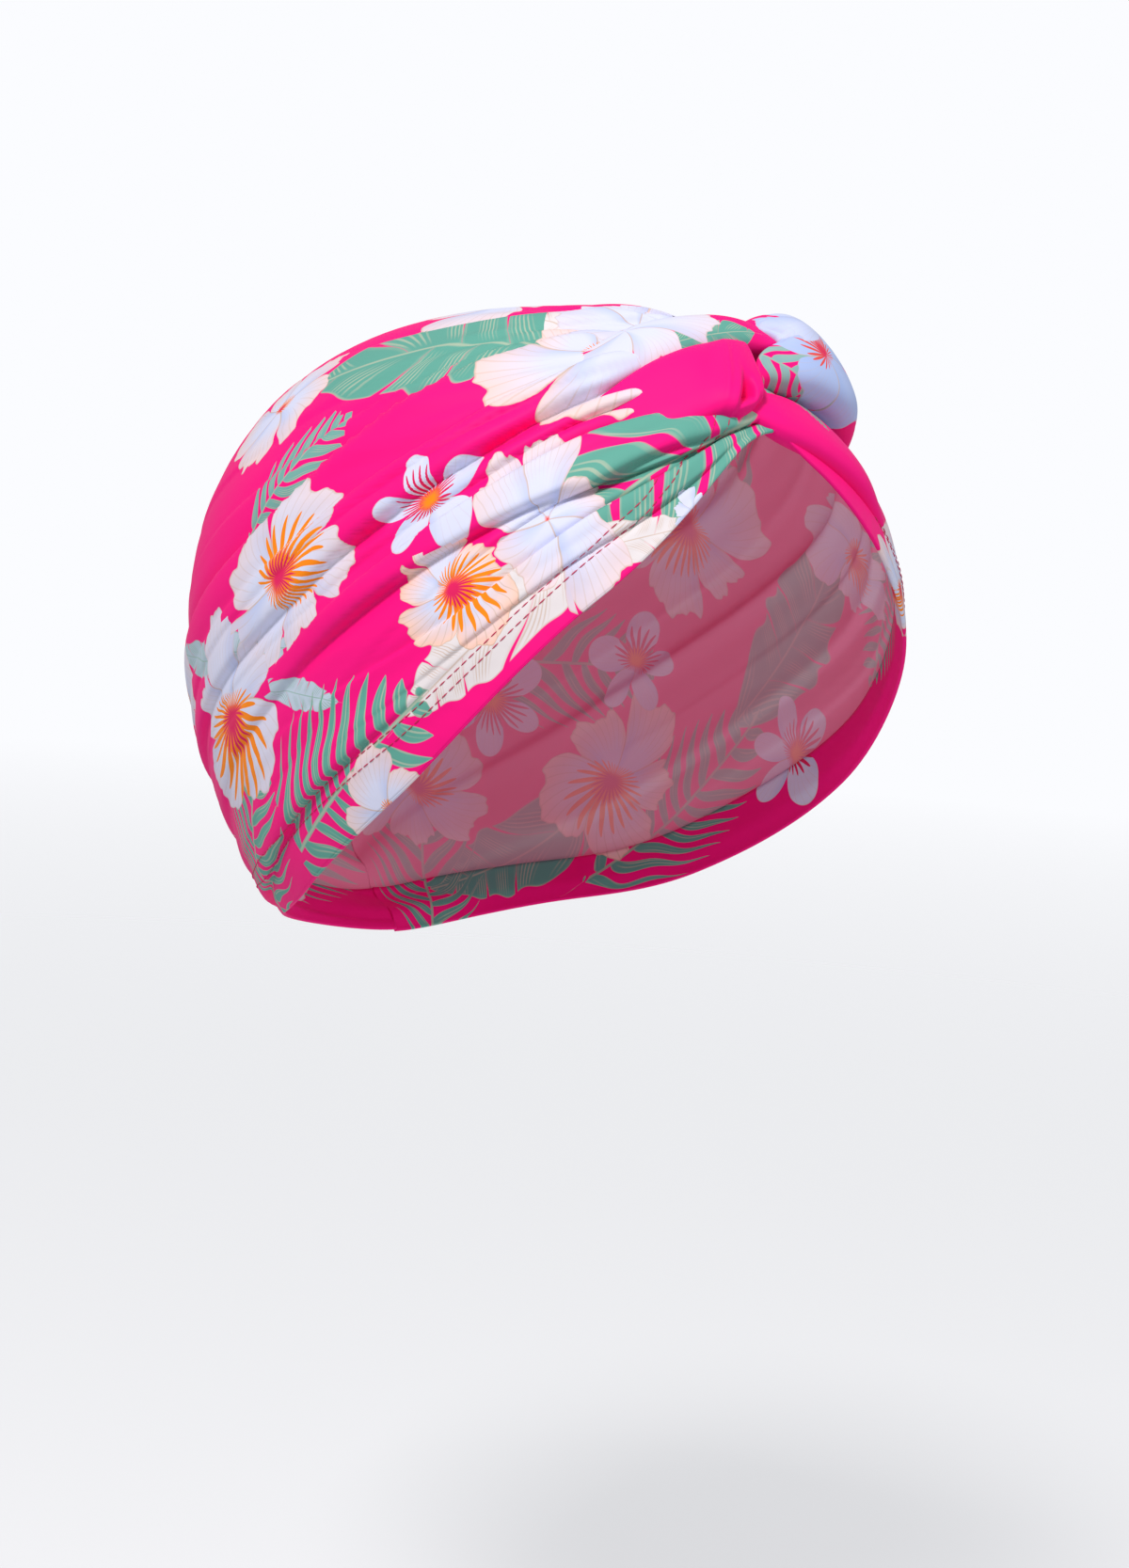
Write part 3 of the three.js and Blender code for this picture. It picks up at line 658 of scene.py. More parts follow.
# %% The knot's axes and tables
# A row gives the oval's middle across, up and out, then its half height and its half depth.
KNOT_WIDTH = 60.0
KNOT_HEIGHT = 30.0
KNOT_DEPTH = 20.0
KNOT_ANGLE = 45
KNOT_OFF_CENTRE = 4.5
KNOT_ABOVE = 3.0
KNOT_SIZES = np.array([KNOT_WIDTH, KNOT_HEIGHT, KNOT_DEPTH])
knot_direction = np.array([0.0, -math.cos(math.radians(KNOT_ANGLE)), math.sin(math.radians(KNOT_ANGLE))])
knot_foot = knot_direction * form_radius(knot_direction)
KNOT_OUT = form_normal(knot_foot)
KNOT_ACROSS = np.array([1.0, 0.0, 0.0])
KNOT_UP = np.cross(KNOT_OUT, KNOT_ACROSS)
KNOT_MIDDLE = knot_foot + KNOT_ACROSS * KNOT_OFF_CENTRE + KNOT_UP * KNOT_ABOVE + FORM_MIDDLE
KNOT_AXES = np.stack([KNOT_ACROSS, KNOT_UP, KNOT_OUT])
RIGHT_LOBE = [
    (-0.60, -0.12, -0.30, 0.28, 0.13),
    (-0.44, -0.12, 0.06, 0.36, 0.19),
    (-0.28, -0.11, 0.31, 0.39, 0.27),
    (-0.15, -0.12, 0.42, 0.43, 0.31),
    (-0.06, -0.08, 0.42, 0.38, 0.30),
]
RIGHT_STRAND = [
    (-0.57, 0.43, -0.25, 0.24, 0.12),
    (-0.34, 0.45, 0.20, 0.26, 0.22),
    (-0.08, 0.43, 0.46, 0.22, 0.24),
    (0.12, 0.36, 0.50, 0.19, 0.21),
    (0.30, 0.22, 0.38, 0.14, 0.16),
]
LEFT_LOBE = [
    (0.62, -0.02, -0.60, 0.24, 0.14),
    (0.55, 0.06, -0.10, 0.36, 0.26),
    (0.45, 0.12, 0.27, 0.43, 0.36),
    (0.30, 0.22, 0.47, 0.46, 0.40),
    (0.16, 0.26, 0.46, 0.43, 0.38),
    (0.07, 0.24, 0.40, 0.41, 0.36),
]
LEFT_STRAND = [
    (0.58, -0.88, -0.60, 0.24, 0.12),
    (0.40, -0.70, -0.12, 0.28, 0.20),
    (0.20, -0.52, 0.16, 0.32, 0.21),
    (0.00, -0.44, 0.30, 0.27, 0.20),
    (-0.14, -0.37, 0.36, 0.13, 0.12),
]
print("knot middle in mm:", np.round(KNOT_MIDDLE, 1).tolist())

# %% [markdown]
# Cloth that is pulled through a loop keeps pleats that run lengthwise, and it is pressed in where it
# turns. Both are added to the plain oval as small pushes along its own outward direction. The pocket
# under the near lobe is pushed in along the way that it opens.

# %% Carrying the ovals
STRAND_STEPS = 150
STRAND_SIDES = 120
STRAND_SQUARENESS = 0.85
LOBE_SQUARENESS = 0.6
LEAST_HALF = 0.5
LIP = 1.3
LIP_RINGS = 8
HOLLOW_RINGS = 24
HOLLOW_TO = 0.6
HOLLOW_NARROWS = 1.5
PLEATS_WANDER = 1.2
PLEATS_TWIST = 3.0
PLEATS_AT_MIDDLE = 0.35
JUST_BEFORE = 1e-9


def line_through(table, t):
    """Catmull-Rom line through all columns of a table, with free ends."""
    rows = np.array(table, float)
    ends = np.concatenate([[2 * rows[0] - rows[1]], rows, [2 * rows[-1] - rows[-2]]])
    x = np.clip(t * (len(rows) - 1), 0, len(rows) - 1 - JUST_BEFORE)
    i = x.astype(int)
    f = (x - i)[:, None]
    a, b, c, d = ends[i], ends[i + 1], ends[i + 2], ends[i + 3]
    return 0.5 * (2 * b + (c - a) * f + (2 * a - 5 * b + 4 * c - d) * f ** 2
                  + (3 * b - 3 * c + d - a) * f ** 3)


def knot_point(places):
    """Places across, up and out in the knot, as points of the frame."""
    return KNOT_MIDDLE + places @ KNOT_AXES


def oval_middles(table, t):
    """The ovals' middles on the table's line."""
    return knot_point(line_through(table, t)[:, :3] * KNOT_SIZES)


def squared(wave, power):
    """A sine or cosine drawn towards a square: its sign times its size to a power."""
    return np.sign(wave) * np.abs(wave) ** power


def strand_rings(table, pleats, pleat_depth, phase, hood=False, squareness=STRAND_SQUARENESS):
    """Ovals square to the line. A hood rolls over a lip at its mouth and runs back inside itself."""
    t = np.linspace(0, 1, STRAND_STEPS)
    advance = np.zeros(STRAND_STEPS)
    shrink = np.zeros(STRAND_STEPS)
    if hood:
        roll = np.linspace(0, np.pi, LIP_RINGS + 1)[1:]
        inward = np.linspace(0, 1, HOLLOW_RINGS + 1)[1:]
        t = np.concatenate([t, np.ones(LIP_RINGS), 1.0 + (HOLLOW_TO - 1.0) * inward])
        advance = np.concatenate([advance, LIP * np.sin(roll), np.zeros(HOLLOW_RINGS)])
        deeper = 2 * LIP + HOLLOW_NARROWS * smooth(inward)
        shrink = np.concatenate([shrink, LIP * (1 - np.cos(roll)), deeper])
    rows = line_through(table, t)
    start = np.minimum(t, 1.0 - 2.0 * NEARBY)
    ahead = unit(oval_middles(table, start + NEARBY) - oval_middles(table, start))
    tall = unit(KNOT_UP - ahead * (ahead @ KNOT_UP)[:, None])
    deep = np.cross(ahead, tall)
    middles = oval_middles(table, t) + ahead * advance[:, None]
    angle = np.linspace(0, 2 * np.pi, STRAND_SIDES, endpoint=False)
    half_height = np.maximum(rows[:, 3] * KNOT_HEIGHT - shrink, LEAST_HALF)[:, None]
    half_depth = np.maximum(rows[:, 4] * KNOT_DEPTH - shrink, LEAST_HALF)[:, None]
    outward = unit((np.cos(angle) / half_height)[..., None] * tall[:, None]
                   + (np.sin(angle) / half_depth)[..., None] * deep[:, None])
    wander = PLEATS_WANDER * np.sin(angle[None, :] + PLEATS_TWIST * t[:, None])
    drawn = np.sin(pleats * angle[None, :] + phase + wander)
    from_middle = np.abs(2 * t[:, None] - 1)
    fullness = pleat_depth * drawn * (PLEATS_AT_MIDDLE + (1.0 - PLEATS_AT_MIDDLE) * from_middle)
    rings = (middles[:, None] + (half_height * squared(np.cos(angle), squareness))[..., None] * tall[:, None]
             + (half_depth * squared(np.sin(angle), squareness))[..., None] * deep[:, None])
    return rings + outward * fullness[..., None], outward, t


# %% Pressing and drawing the strands
RIM_SLANT = 0.55
POCKET_OPENS = unit(0.53 * KNOT_OUT - 0.62 * KNOT_ACROSS - 0.58 * KNOT_UP)
SLANTS_FROM = (0.3, 0.7)
NOTCHED_FROM = (0.55, 0.45)
NOTCHED_OUT_FROM = (6.0, 5.0)


def knot_places(rings):
    """Millimetres across, up and out from the knot's middle."""
    return (rings - KNOT_MIDDLE) @ KNOT_AXES.T


def away_from(rings, middle):
    """Distances from a place, where across is counted from the slanted line parallel to the rim."""
    place = knot_places(rings)
    slanted = np.stack([place[..., 0] - RIM_SLANT * place[..., 1], place[..., 1], place[..., 2]], -1)
    return slanted - np.array(middle)


def slant_rim(rings, t, level):
    """Shifts points across by the rim's slant times their height over a level, growing to the mouth."""
    up = knot_places(rings)[..., 1] - level
    return rings + KNOT_ACROSS * (RIM_SLANT * up * ramp(t, *SLANTS_FROM)[:, None])[..., None]


def press(rings, outward, middle, sizes, depth):
    """A dent, or with a negative depth a swell: depth * e^(-squared distance over the sizes)."""
    away = away_from(rings, middle) / np.array(sizes)
    return rings - outward * (depth * np.exp(-(away ** 2).sum(-1)))[..., None]


def pocket(rings, middle, steep, gentle, depth):
    """A hollow whose right and lower sides are steep and whose others rise gently."""
    away = away_from(rings, middle)
    share = np.exp(-np.square(away / np.where(away < 0, steep, gentle)).sum(-1))
    return rings - POCKET_OPENS * (depth * share)[..., None]


def notch(rings, t, middle, half, depth):
    """Draws the front of the rim back around the strand that dives in there."""
    place = knot_places(rings)
    front = ramp(place[..., 2], *NOTCHED_OUT_FROM) * ramp(t, *NOTCHED_FROM)[:, None]
    return rings + KNOT_ACROSS * (depth * front * swell((place[..., 1] - middle) / half))[..., None]

# %% The print on the strands
# A row gives the middle and the way ahead in the knot's axes, then reach, slimness, kind and tones.
# A negative blush paints a cool blue shade over a flower's petals.
LOBE_PRINT = {
    # The far lobe's flowers have a negative blush, so their petals carry the lobe's painted blue shade.
    "flowers": [((20.0, 0.5, 14.0), (-0.3, 1.0, 0.0), 21, 0.75, HIBISCUS, -0.7, 0.9)],
    "flowers_over": [((24.0, 14.0, 10.0), (1.0, 0.0, 0.0), 17, 0.8, HIBISCUS, -0.3, 0.0)],
    "leaves": [((13.0, -8.0, 12.0), (1.0, -0.7, 0.0), 20, 0.9, 0.8, 0.0, 0.25)],
}
STRAND_PRINT = {
    "flowers": [((-26.0, 20.0, 8.0), (1.0, 0.0, 0.0), 24, 0.8, HIBISCUS, 0.3, 0.2)],
    "leaves": [
        ((-9.0, 9.5, 13.0), (1.0, 0.0, 0.0), 13, 1.0, BANANA, 0.0, 0.0),
        ((12.0, -8.0, 7.0), (0.4, -1.0, 0.0), 10, 0.7, 0.6, 0.0, 0.0),
    ],
}
STRAND_LENGTH = 45.0
STRAND_ROUND = 50.0


def motif_in_knot(row):
    """A row of a strand's table, laid square to the way out from the form's middle."""
    place, points, reach, slim, kind, *tones = row
    middle = knot_point(np.array(place))
    ahead = unit(np.array(points) @ KNOT_AXES)
    return place_motif(middle, unit(middle - FORM_MIDDLE), ahead, reach, slim, kind, tones)


def make_strand(name, rings, layers):
    """A strand of the knot as one closed skin, printed with its own flowers and leaves."""
    points = rings.reshape(-1, 3)
    count = len(rings)
    piece, faces = make_mesh(name, points, carried_faces(count, STRAND_SIDES))
    motifs = {layer: [motif_in_knot(row) for row in rows] for layer, rows in layers.items()}
    lay_print(piece, faces, points, motifs)
    run = np.linspace(0, STRAND_LENGTH, count)
    turn = np.linspace(0, STRAND_ROUND, STRAND_SIDES)
    cloth = np.stack(np.meshgrid(run, turn, indexing="ij"), -1)
    lay_cloth(piece, faces, cloth.reshape(-1, 2), np.zeros(len(points)))
    return piece


# %% The four strands
rings, outward, t = strand_rings(RIGHT_LOBE, pleats=3, pleat_depth=0.25, phase=0.6, hood=True,
                                 squareness=LOBE_SQUARENESS)
rings = slant_rim(rings, t, level=-1.5)
rings = press(rings, outward, middle=(-10.8, -4.0, 12.0), sizes=(0.9, 9.0, 9.0), depth=-0.6)
rings = press(rings, outward, middle=(-15.0, -1.0, 13.0), sizes=(2.6, 9.0, 9.0), depth=0.5)
rings = pocket(rings, middle=(-6.6, -14.6, 11.0), steep=(0.6, 1.2, 8.0), gentle=(3.5, 5.8, 8.0), depth=8.6)
right_lobe = make_strand("right_lobe", rings, {})
rings, outward, t = strand_rings(RIGHT_STRAND, pleats=4, pleat_depth=0.3, phase=0.0)
right_strand = make_strand("right_strand", rings, STRAND_PRINT)
rings, outward, t = strand_rings(LEFT_LOBE, pleats=4, pleat_depth=0.35, phase=1.0, hood=True)
rings = slant_rim(rings, t, level=7.2)
rings = notch(rings, t, middle=7.4, half=4.4, depth=9.0)
left_lobe = make_strand("left_lobe", rings, LOBE_PRINT)
rings, outward, t = strand_rings(LEFT_STRAND, pleats=2, pleat_depth=0.15, phase=2.0)
left_strand = make_strand("left_strand", rings, STRAND_PRINT)

# %% [markdown]
# The hem is sewn with a twin needle: two rows of short stitches run side by side, about a finger's
# breadth above the edge. A printed line would look flat up close, so each stitch is a small bead of
# thread sunk a little into the cloth, and one formula places them all.

# %% The twin-needle stitches
STITCH_LENGTH = 2.1
STITCH_GAP = 0.4
THREAD_RADIUS = 0.14
ROW_HEIGHTS = (11.2, 14.4)
LAST_STITCH = 0.955
STITCH_RINGS = 5
STITCH_SIDES = 6
STITCH_BOW = 0.12
FIRST_ALONG = 0.004
FIRST_STITCH = 0.5
LINE_STEPS = 4000
THREAD_END = 0.04


def stitch_starts(side, above):
    """Places along the hem, one stitch and one gap apart, with the row's line and its length so far."""
    along = np.linspace(FIRST_ALONG, LAST_STITCH, LINE_STEPS)
    across = 1.0 - above / cloth_length(along, side)
    line = worn_point(along, across, side, face_height(along, across, side))
    run = np.concatenate([[0.0], np.cumsum(np.linalg.norm(np.diff(line, axis=0), axis=1))])
    starts = np.arange(FIRST_STITCH, run[-1] - STITCH_LENGTH, STITCH_LENGTH + STITCH_GAP)
    return starts, run, line


def make_stitches(name, side):
    """Each stitch is an oval bead between two places of its row, half sunk into the cloth."""
    s = np.linspace(-1, 1, STITCH_RINGS)
    width = np.sqrt(np.maximum(1.0 - s ** 4, THREAD_END)) * THREAD_RADIUS
    angle = np.linspace(0, 2 * np.pi, STITCH_SIDES, endpoint=False)
    pieces = []
    for above in ROW_HEIGHTS:
        starts, run, line = stitch_starts(side, above)
        ends = [np.stack([np.interp(starts + d, run, line[:, k]) for k in range(3)], -1)
                for d in (0.0, STITCH_LENGTH)]
        middle = (ends[0] + ends[1]) / 2
        ahead = unit(ends[1] - ends[0])
        beside = unit(np.cross(ahead, form_normal(middle - FORM_MIDDLE)))
        out = np.cross(beside, ahead)
        reach = s[None, :, None, None] * ahead[:, None, None] * STITCH_LENGTH / 2
        bow = (1.0 - s ** 2)[None, :, None, None] * out[:, None, None] * STITCH_BOW
        around = (np.cos(angle)[None, None, :, None] * beside[:, None, None]
                  + np.sin(angle)[None, None, :, None] * out[:, None, None]) * width[None, :, None, None]
        pieces.append(middle[:, None, None] + reach + bow + around)
    beads = np.concatenate(pieces)
    one = carried_faces(STITCH_RINGS, STITCH_SIDES)
    count = STITCH_RINGS * STITCH_SIDES
    faces = (one[None] + (np.arange(len(beads)) * count)[:, None, None]).reshape(-1, 4)
    piece, _ = make_mesh(name, beads.reshape(-1, 3), faces)
    print(f"{name}: {len(beads)} stitches")
    return piece


right_stitches = make_stitches("right_stitches", RIGHT)
left_stitches = make_stitches("left_stitches", LEFT)

# %% [markdown]
# Shader maths reads best as plain expressions. This small class wraps a number of the shader, and
# Python's own operators on it add the nodes, so a petal's outline can be written down as its formula.


# %% Writing shader maths as expressions
def add_node(tree, kind, settings=None, inputs=None):
    """One node: its type, then its settings, then the values or links of its sockets."""
    made = tree.nodes.new(kind)
    for name, value in (settings or {}).items():
        setattr(made, name, value)
    for key, value in (inputs or {}).items():
        value = value.socket if isinstance(value, Number) else value
        if isinstance(value, bpy.types.NodeSocket):
            tree.links.new(value, made.inputs[key])
        else:
            made.inputs[key].default_value = value
    return made


def operator(operation, turned=False, clamp=False):
    """A method for one operation of the Math node. Turned puts the other value first."""
    def method(self, *others):
        values = (self, *others)[::-1] if turned else (self, *others)
        settings = {"operation": operation, "use_clamp": clamp}
        made = add_node(self.tree, "ShaderNodeMath", settings, dict(enumerate(values)))
        return Number(self.tree, made.outputs[0])
    return method


class Number:
    """A number that varies over the surface. Each operator adds one Math node."""

    def __init__(self, tree, socket):
        self.tree = tree
        self.socket = socket

    __add__ = __radd__ = operator("ADD")
    __sub__ = operator("SUBTRACT")
    __rsub__ = operator("SUBTRACT", turned=True)
    __mul__ = __rmul__ = operator("MULTIPLY")
    __truediv__ = operator("DIVIDE")
    __pow__ = operator("POWER")
    __abs__ = operator("ABSOLUTE")
    sin = operator("SINE")
    floor = operator("FLOOR")
    root = operator("SQRT")
    angle_from = operator("ARCTAN2")
    most = operator("MAXIMUM")
    held_sum = operator("ADD", clamp=True)

    def held(self):
        """The number, held between 0 and 1."""
        return self.held_sum(0.0)

    def rise(self, start, end):
        """0 below start, 1 above end, a straight ramp between."""
        return ((self - start) / (end - start)).held()


def blend(tree, share, first, second):
    """Colour that goes from the first to the second as the share goes from 0 to 1."""
    made = add_node(tree, "ShaderNodeMix", {"data_type": "RGBA"}, {0: share, 6: first, 7: second})
    return made.outputs[2]


def attribute(tree, name, output):
    """A named attribute of the mesh."""
    return add_node(tree, "ShaderNodeAttribute", {"attribute_name": name}).outputs[output]


def parts(tree, vector):
    """The three numbers of a vector."""
    split = add_node(tree, "ShaderNodeSeparateXYZ", inputs={0: vector})
    return [Number(tree, part) for part in split.outputs]


def colour(red, green, blue):
    """A colour as it is seen on a screen, from 0 to 255, turned into the shader's linear values."""
    seen = np.array([red, green, blue]) / 255.0
    linear = np.where(seen <= 0.04045, seen / 12.92, ((seen + 0.055) / 1.055) ** 2.4)
    return (*linear.tolist(), 1.0)

# %% [markdown]
# The print's shapes are drawn from the places that each face learned. A flower is told by its radius
# and by how far round a petal the point lies: five petals repeat with the angle. A leaf is told by the
# place along its rib and beside it, with slits that slant back from the rib. The soft print of a real
# cloth has fine veins and streaks, so each shape carries a few thin lines of a second colour. The
# plain numbers in these formulas are shares of the flower's or leaf's reach.

# %% The print's colours
HOT_PINK = colour(252, 8, 130)
PETAL_WHITE = colour(217, 220, 244)
# Painted shade: the cool blue that petals show where they lie in shade.
PETAL_PAINTED_SHADE_BLUE = colour(160, 186, 238)
PETAL_SHADE = colour(192, 203, 240)
PETAL_BLUSH = colour(253, 205, 184)
PETAL_LINE = colour(206, 178, 158)
THROAT_ORANGE = colour(255, 140, 20)
THROAT_MAGENTA = colour(225, 30, 95)
PETAL_TAN = colour(230, 222, 224)
LEAF_TEAL = colour(98, 167, 152)
LEAF_PALE = colour(190, 196, 172)
THREAD_RED = colour(196, 30, 84)
PETALS = 5.0


# %% Drawing a flower
def read_layer(tree, layer):
    """The layer's place x, y and kind, and its two tones and number, from the mesh."""
    return (*parts(tree, attribute(tree, f"{layer}_place", "Vector")),
            *parts(tree, attribute(tree, f"{layer}_tone", "Vector")))


def draw_flower(tree, under, layer):
    """Petals out to R(b), where b counts from -1/2 to 1/2 across one petal; veins, blush and throat, and a
    painted cool blue shade where the blush is negative.
    """
    x, y, kind, blush_and_painted_shade, throat, number = read_layer(tree, layer)
    radius = (x * x + y * y).root()
    angle = y.angle_from(x)
    uneven = (angle + number * 2.0).sin() * 0.22
    round_flower = angle * (PETALS / (2 * math.pi)) + radius * 0.3 * kind + uneven
    petal = (round_flower + 0.5).floor()
    b = round_flower - petal
    from_rib = abs(b) * 2.0
    varied = 0.87 + (0.03 + kind * 0.12) * (petal * 2.4 + number).sin()
    ruffle = (b * 13.0 + number * 3.0 + petal * 2.0).sin() * 0.045
    ruffle = ruffle + (b * 31.0 + number + petal).sin() * 0.020 + (b * 67.0 + number).sin() * 0.006
    ruffle = ruffle * kind
    wide = from_rib ** 6.0 * -0.34 + 1.0
    narrow = from_rib ** 2.0 * -0.66 + 1.0
    outline = (narrow + (wide - narrow) * kind) * varied + ruffle
    inside = (outline - radius).rise(-0.004, 0.004)
    depth = ((outline - radius) / outline).held()
    share = 1.0 - depth
    shaded = (b + 0.5).rise(0.0, 0.35)
    streaks = (b * 62.0 + (radius * 9.0 + number).sin() * 0.5).sin()
    vein = (streaks - 0.86).rise(0.0, 0.1) * share.rise(0.35, 0.6) * 0.5
    parting = (0.5 - abs(b)) * radius
    between = 1.0 - parting.rise(0.002, 0.010)
    edge_line = 1.0 - (outline - radius).rise(0.008, 0.022)
    to_one_side = (angle + number * 3.0).sin() * 0.45 + 0.75
    ray = abs((b * 18.0 + (radius * 9.0 + number).sin() * 0.3).sin())
    reach = throat * to_one_side * (0.20 + 0.33 * ray * ray)
    fire = (reach - radius).rise(0.0, 0.012)
    outer = (radius - reach * 0.42).rise(-0.02, 0.05)
    # A negative blush paints a cool blue shade over the petals.
    painted_blue_shade = (blush_and_painted_shade * -1.0).held()
    warm = (outer * kind + (1.0 - outer) * (1.0 - kind)) * (1.0 - painted_blue_shade)
    petal_colour = blend(tree, shaded, PETAL_SHADE, PETAL_WHITE)
    petal_colour = blend(tree, share.rise(0.45, 1.0) * blush_and_painted_shade.held(), petal_colour, PETAL_BLUSH)
    petal_colour = blend(tree, painted_blue_shade, petal_colour, PETAL_PAINTED_SHADE_BLUE)
    petal_colour = blend(tree, vein * (0.3 + blush_and_painted_shade.held() * 0.7), petal_colour, PETAL_LINE)
    outlines = (between * 0.85).most(edge_line * (0.3 + blush_and_painted_shade.held() * 0.5))
    petal_colour = blend(tree, outlines, petal_colour, PETAL_LINE)
    throat_colour = blend(tree, warm, THROAT_MAGENTA, THROAT_ORANGE)
    petal_colour = blend(tree, fire, petal_colour, throat_colour)
    return blend(tree, inside, under, petal_colour)


# %% Drawing a leaf
def draw_leaf(tree, under, layer):
    """Inside |y| < W(x); slits every 1/n along the rib slant outwards and open towards the edge."""
    x, y, kind, tan, white, number = read_layer(tree, layer)
    from_rib = abs(y)
    half_width = (1.0 - x * x).most(0.0) ** 0.8 * (0.42 + kind * 0.18 - white * 0.18)
    out = (from_rib / half_width.most(0.01)).held()
    slant = from_rib * (0.7 - kind * 0.3) + from_rib * from_rib * kind * 1.4
    side_shift = y.rise(-0.001, 0.001) * 0.43
    wavy = (number + x * 5.0).sin() * 0.3 + (from_rib * 8.0 + x * 9.0 + number).sin() * kind * 0.12
    run = (x - slant) * (2.3 + kind * 3.2) + side_shift + wavy
    cell = run - run.floor()
    banana_share = 1.0 - 0.10 * out.rise(0.35, 1.0)
    palm_share = (1.0 - out * out) * (0.30 + 1.9 * out * (1.0 - out))
    leaf_share = banana_share + (palm_share - banana_share) * kind
    from_slit = leaf_share * 0.5 - abs(cell - 0.5)
    leaflet = from_slit.rise(-0.01, 0.01)
    near_rib = 1.0 - from_rib.rise(0.010, 0.016)
    ragged = half_width * (0.93 + 0.07 * (run * (2 * math.pi)).sin())
    within = (ragged - from_rib).rise(-0.004, 0.004)
    shape = (within * leaflet).most(near_rib * (1.0 - abs(x).rise(0.93, 0.95)))
    fine = (run * (80.0 - kind * 50.0)).sin()
    clusters = (run * 9.0 + number).sin().rise(-0.6, 0.4)
    streak = (fine - 0.1).rise(0.0, 0.6) * clusters * out.rise(0.08, 0.3) * (1.0 - out.rise(0.7, 0.95))
    rim = (1.0 - from_slit.rise(0.02, 0.07)) * (0.4 + kind * 0.6)
    rim = rim.most(1.0 - (ragged - from_rib).rise(0.006, 0.018)) * 0.5
    rib = (1.0 - from_rib.rise(0.004, 0.014)) * 0.7
    leaf_colour = blend(tree, tan, LEAF_TEAL, PETAL_TAN)
    leaf_colour = blend(tree, white, leaf_colour, PETAL_WHITE)
    line_colour = blend(tree, white, LEAF_PALE, LEAF_TEAL)
    line_colour = blend(tree, tan, line_colour, PETAL_LINE)
    leaf_colour = blend(tree, (streak * 0.65).most(rim).most(rib), leaf_colour, line_colour)
    return blend(tree, shape, under, leaf_colour)

# %% [markdown]
# The cloth itself is a smooth polyester jersey with a faint satin sheen. Its knit is too fine to model,
# so a bump of fine ribs and a soft, stretched noise for small creases stand for it. The back of the
# cloth shows the print only faintly, as dye that came through, so it is mixed with a pale pink.

# %% The printed jersey
KNIT_RIBS_PER_METRE = 2600.0
REVERSE_PALE = colour(255, 196, 218)
REVERSE_SHARE = 0.52
KNIT_SHARE = 0.05
CREASE_SHARE = 6.0
CREASE_STRETCH = (14, 90, 1)


def new_material(name, settings):
    """A material with these values on its shader's own sockets, and its nodes and shader."""
    material = bpy.data.materials.new(name)
    material.use_nodes = True
    shader = material.node_tree.nodes["Principled BSDF"]
    for socket, value in settings.items():
        shader.inputs[socket].default_value = value
    return material, material.node_tree, shader


def make_jersey(name):
    """Base colour from the print, paler on the back; bump from knit ribs and small creases."""
    material, tree, shader = new_material(name, {
        "Roughness": 0.62, "Specular IOR Level": 0.15, "Sheen Weight": 0.03, "Sheen Roughness": 0.4})
    printed = HOT_PINK
    for draw, layer in ((draw_leaf, "leaves"), (draw_leaf, "fronds"),
                        (draw_flower, "flowers"), (draw_flower, "flowers_over")):
        printed = draw(tree, printed, layer)
    reverse = Number(tree, attribute(tree, "reverse", "Fac"))
    printed = blend(tree, reverse * REVERSE_SHARE, printed, REVERSE_PALE)
    tree.links.new(printed, shader.inputs["Base Color"])
    cloth = add_node(tree, "ShaderNodeUVMap", {"uv_map": "cloth"}).outputs[0]
    across = parts(tree, cloth)[1]
    knit = (across * KNIT_RIBS_PER_METRE).sin() * KNIT_SHARE
    stretched = add_node(tree, "ShaderNodeVectorMath", {"operation": "MULTIPLY"},
                         {0: cloth, 1: CREASE_STRETCH})
    noise = add_node(tree, "ShaderNodeTexNoise", inputs={
        "Vector": stretched.outputs[0], "Scale": 1.0, "Detail": 2.0})
    creases = Number(tree, noise.outputs["Fac"]) * CREASE_SHARE
    bump = add_node(tree, "ShaderNodeBump", inputs={
        "Height": knit + creases, "Strength": 0.35, "Distance": 0.0002})
    tree.links.new(bump.outputs[0], shader.inputs["Normal"])
    print(f"{name}: {len(tree.nodes)} nodes")
    return material


jersey = make_jersey("printed_jersey")
thread, _, _ = new_material("sewing_thread", {"Base Color": THREAD_RED, "Roughness": 0.6})
strands = [right_lobe, right_strand, left_lobe, left_strand]
for piece in [right_half, left_half, right_turned_hem, left_turned_hem, *strands]:
    piece.data.materials.append(jersey)
for piece in (right_stitches, left_stitches):
    piece.data.materials.append(thread)

# %% [markdown]
# Each piece hides the imported solid that it stands for.

# %% Hiding the solids that the pieces stand for
for piece, node, slot in (
    (right_half, "right_panel", "printed_jersey"),
    (left_half, "left_panel", "printed_jersey"),
    (right_turned_hem, "right_hem", "hem_jersey"),
    (left_turned_hem, "left_hem", "hem_jersey"),
    (right_lobe, "right_loop", "printed_jersey"),
    (left_lobe, "left_loop", "printed_jersey"),
):
    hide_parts(node)
for half, others in (
    (right_half, [right_turned_hem, right_stitches, right_lobe, right_strand]),
    (left_half, [left_turned_hem, left_stitches, left_lobe, left_strand]),
):
    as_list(others)

# %% [markdown]
# The camera stands to the front right, a little above the cap, and looks at the middle of the form
# with a slight roll, as the hand-held photo was taken. It could be aimed with a constraint, but its
# three axes written down directly also hold the roll.

# %% The camera
IMAGE_WIDTH = 1200
IMAGE_HEIGHT = 1667
SENSOR = 36.0
FOCAL_PIXELS = 3245.9
CAMERA_AZIMUTH = -38.571
CAMERA_DISTANCE = 793.2
CAMERA_ABOVE_MIDDLE = 60.0
CAMERA_ROLL = 3.933
AIM_PIXEL = (574.56, 692.42)


def stand(item, place, right, up, backwards):
    """Puts a camera or lamp at a place in metres, with its three axes, into the scene."""
    axes = np.eye(4)
    axes[:3] = np.stack([right, up, backwards, place], -1)
    item.matrix_world = Matrix(axes.tolist())
    bpy.context.scene.collection.objects.link(item)


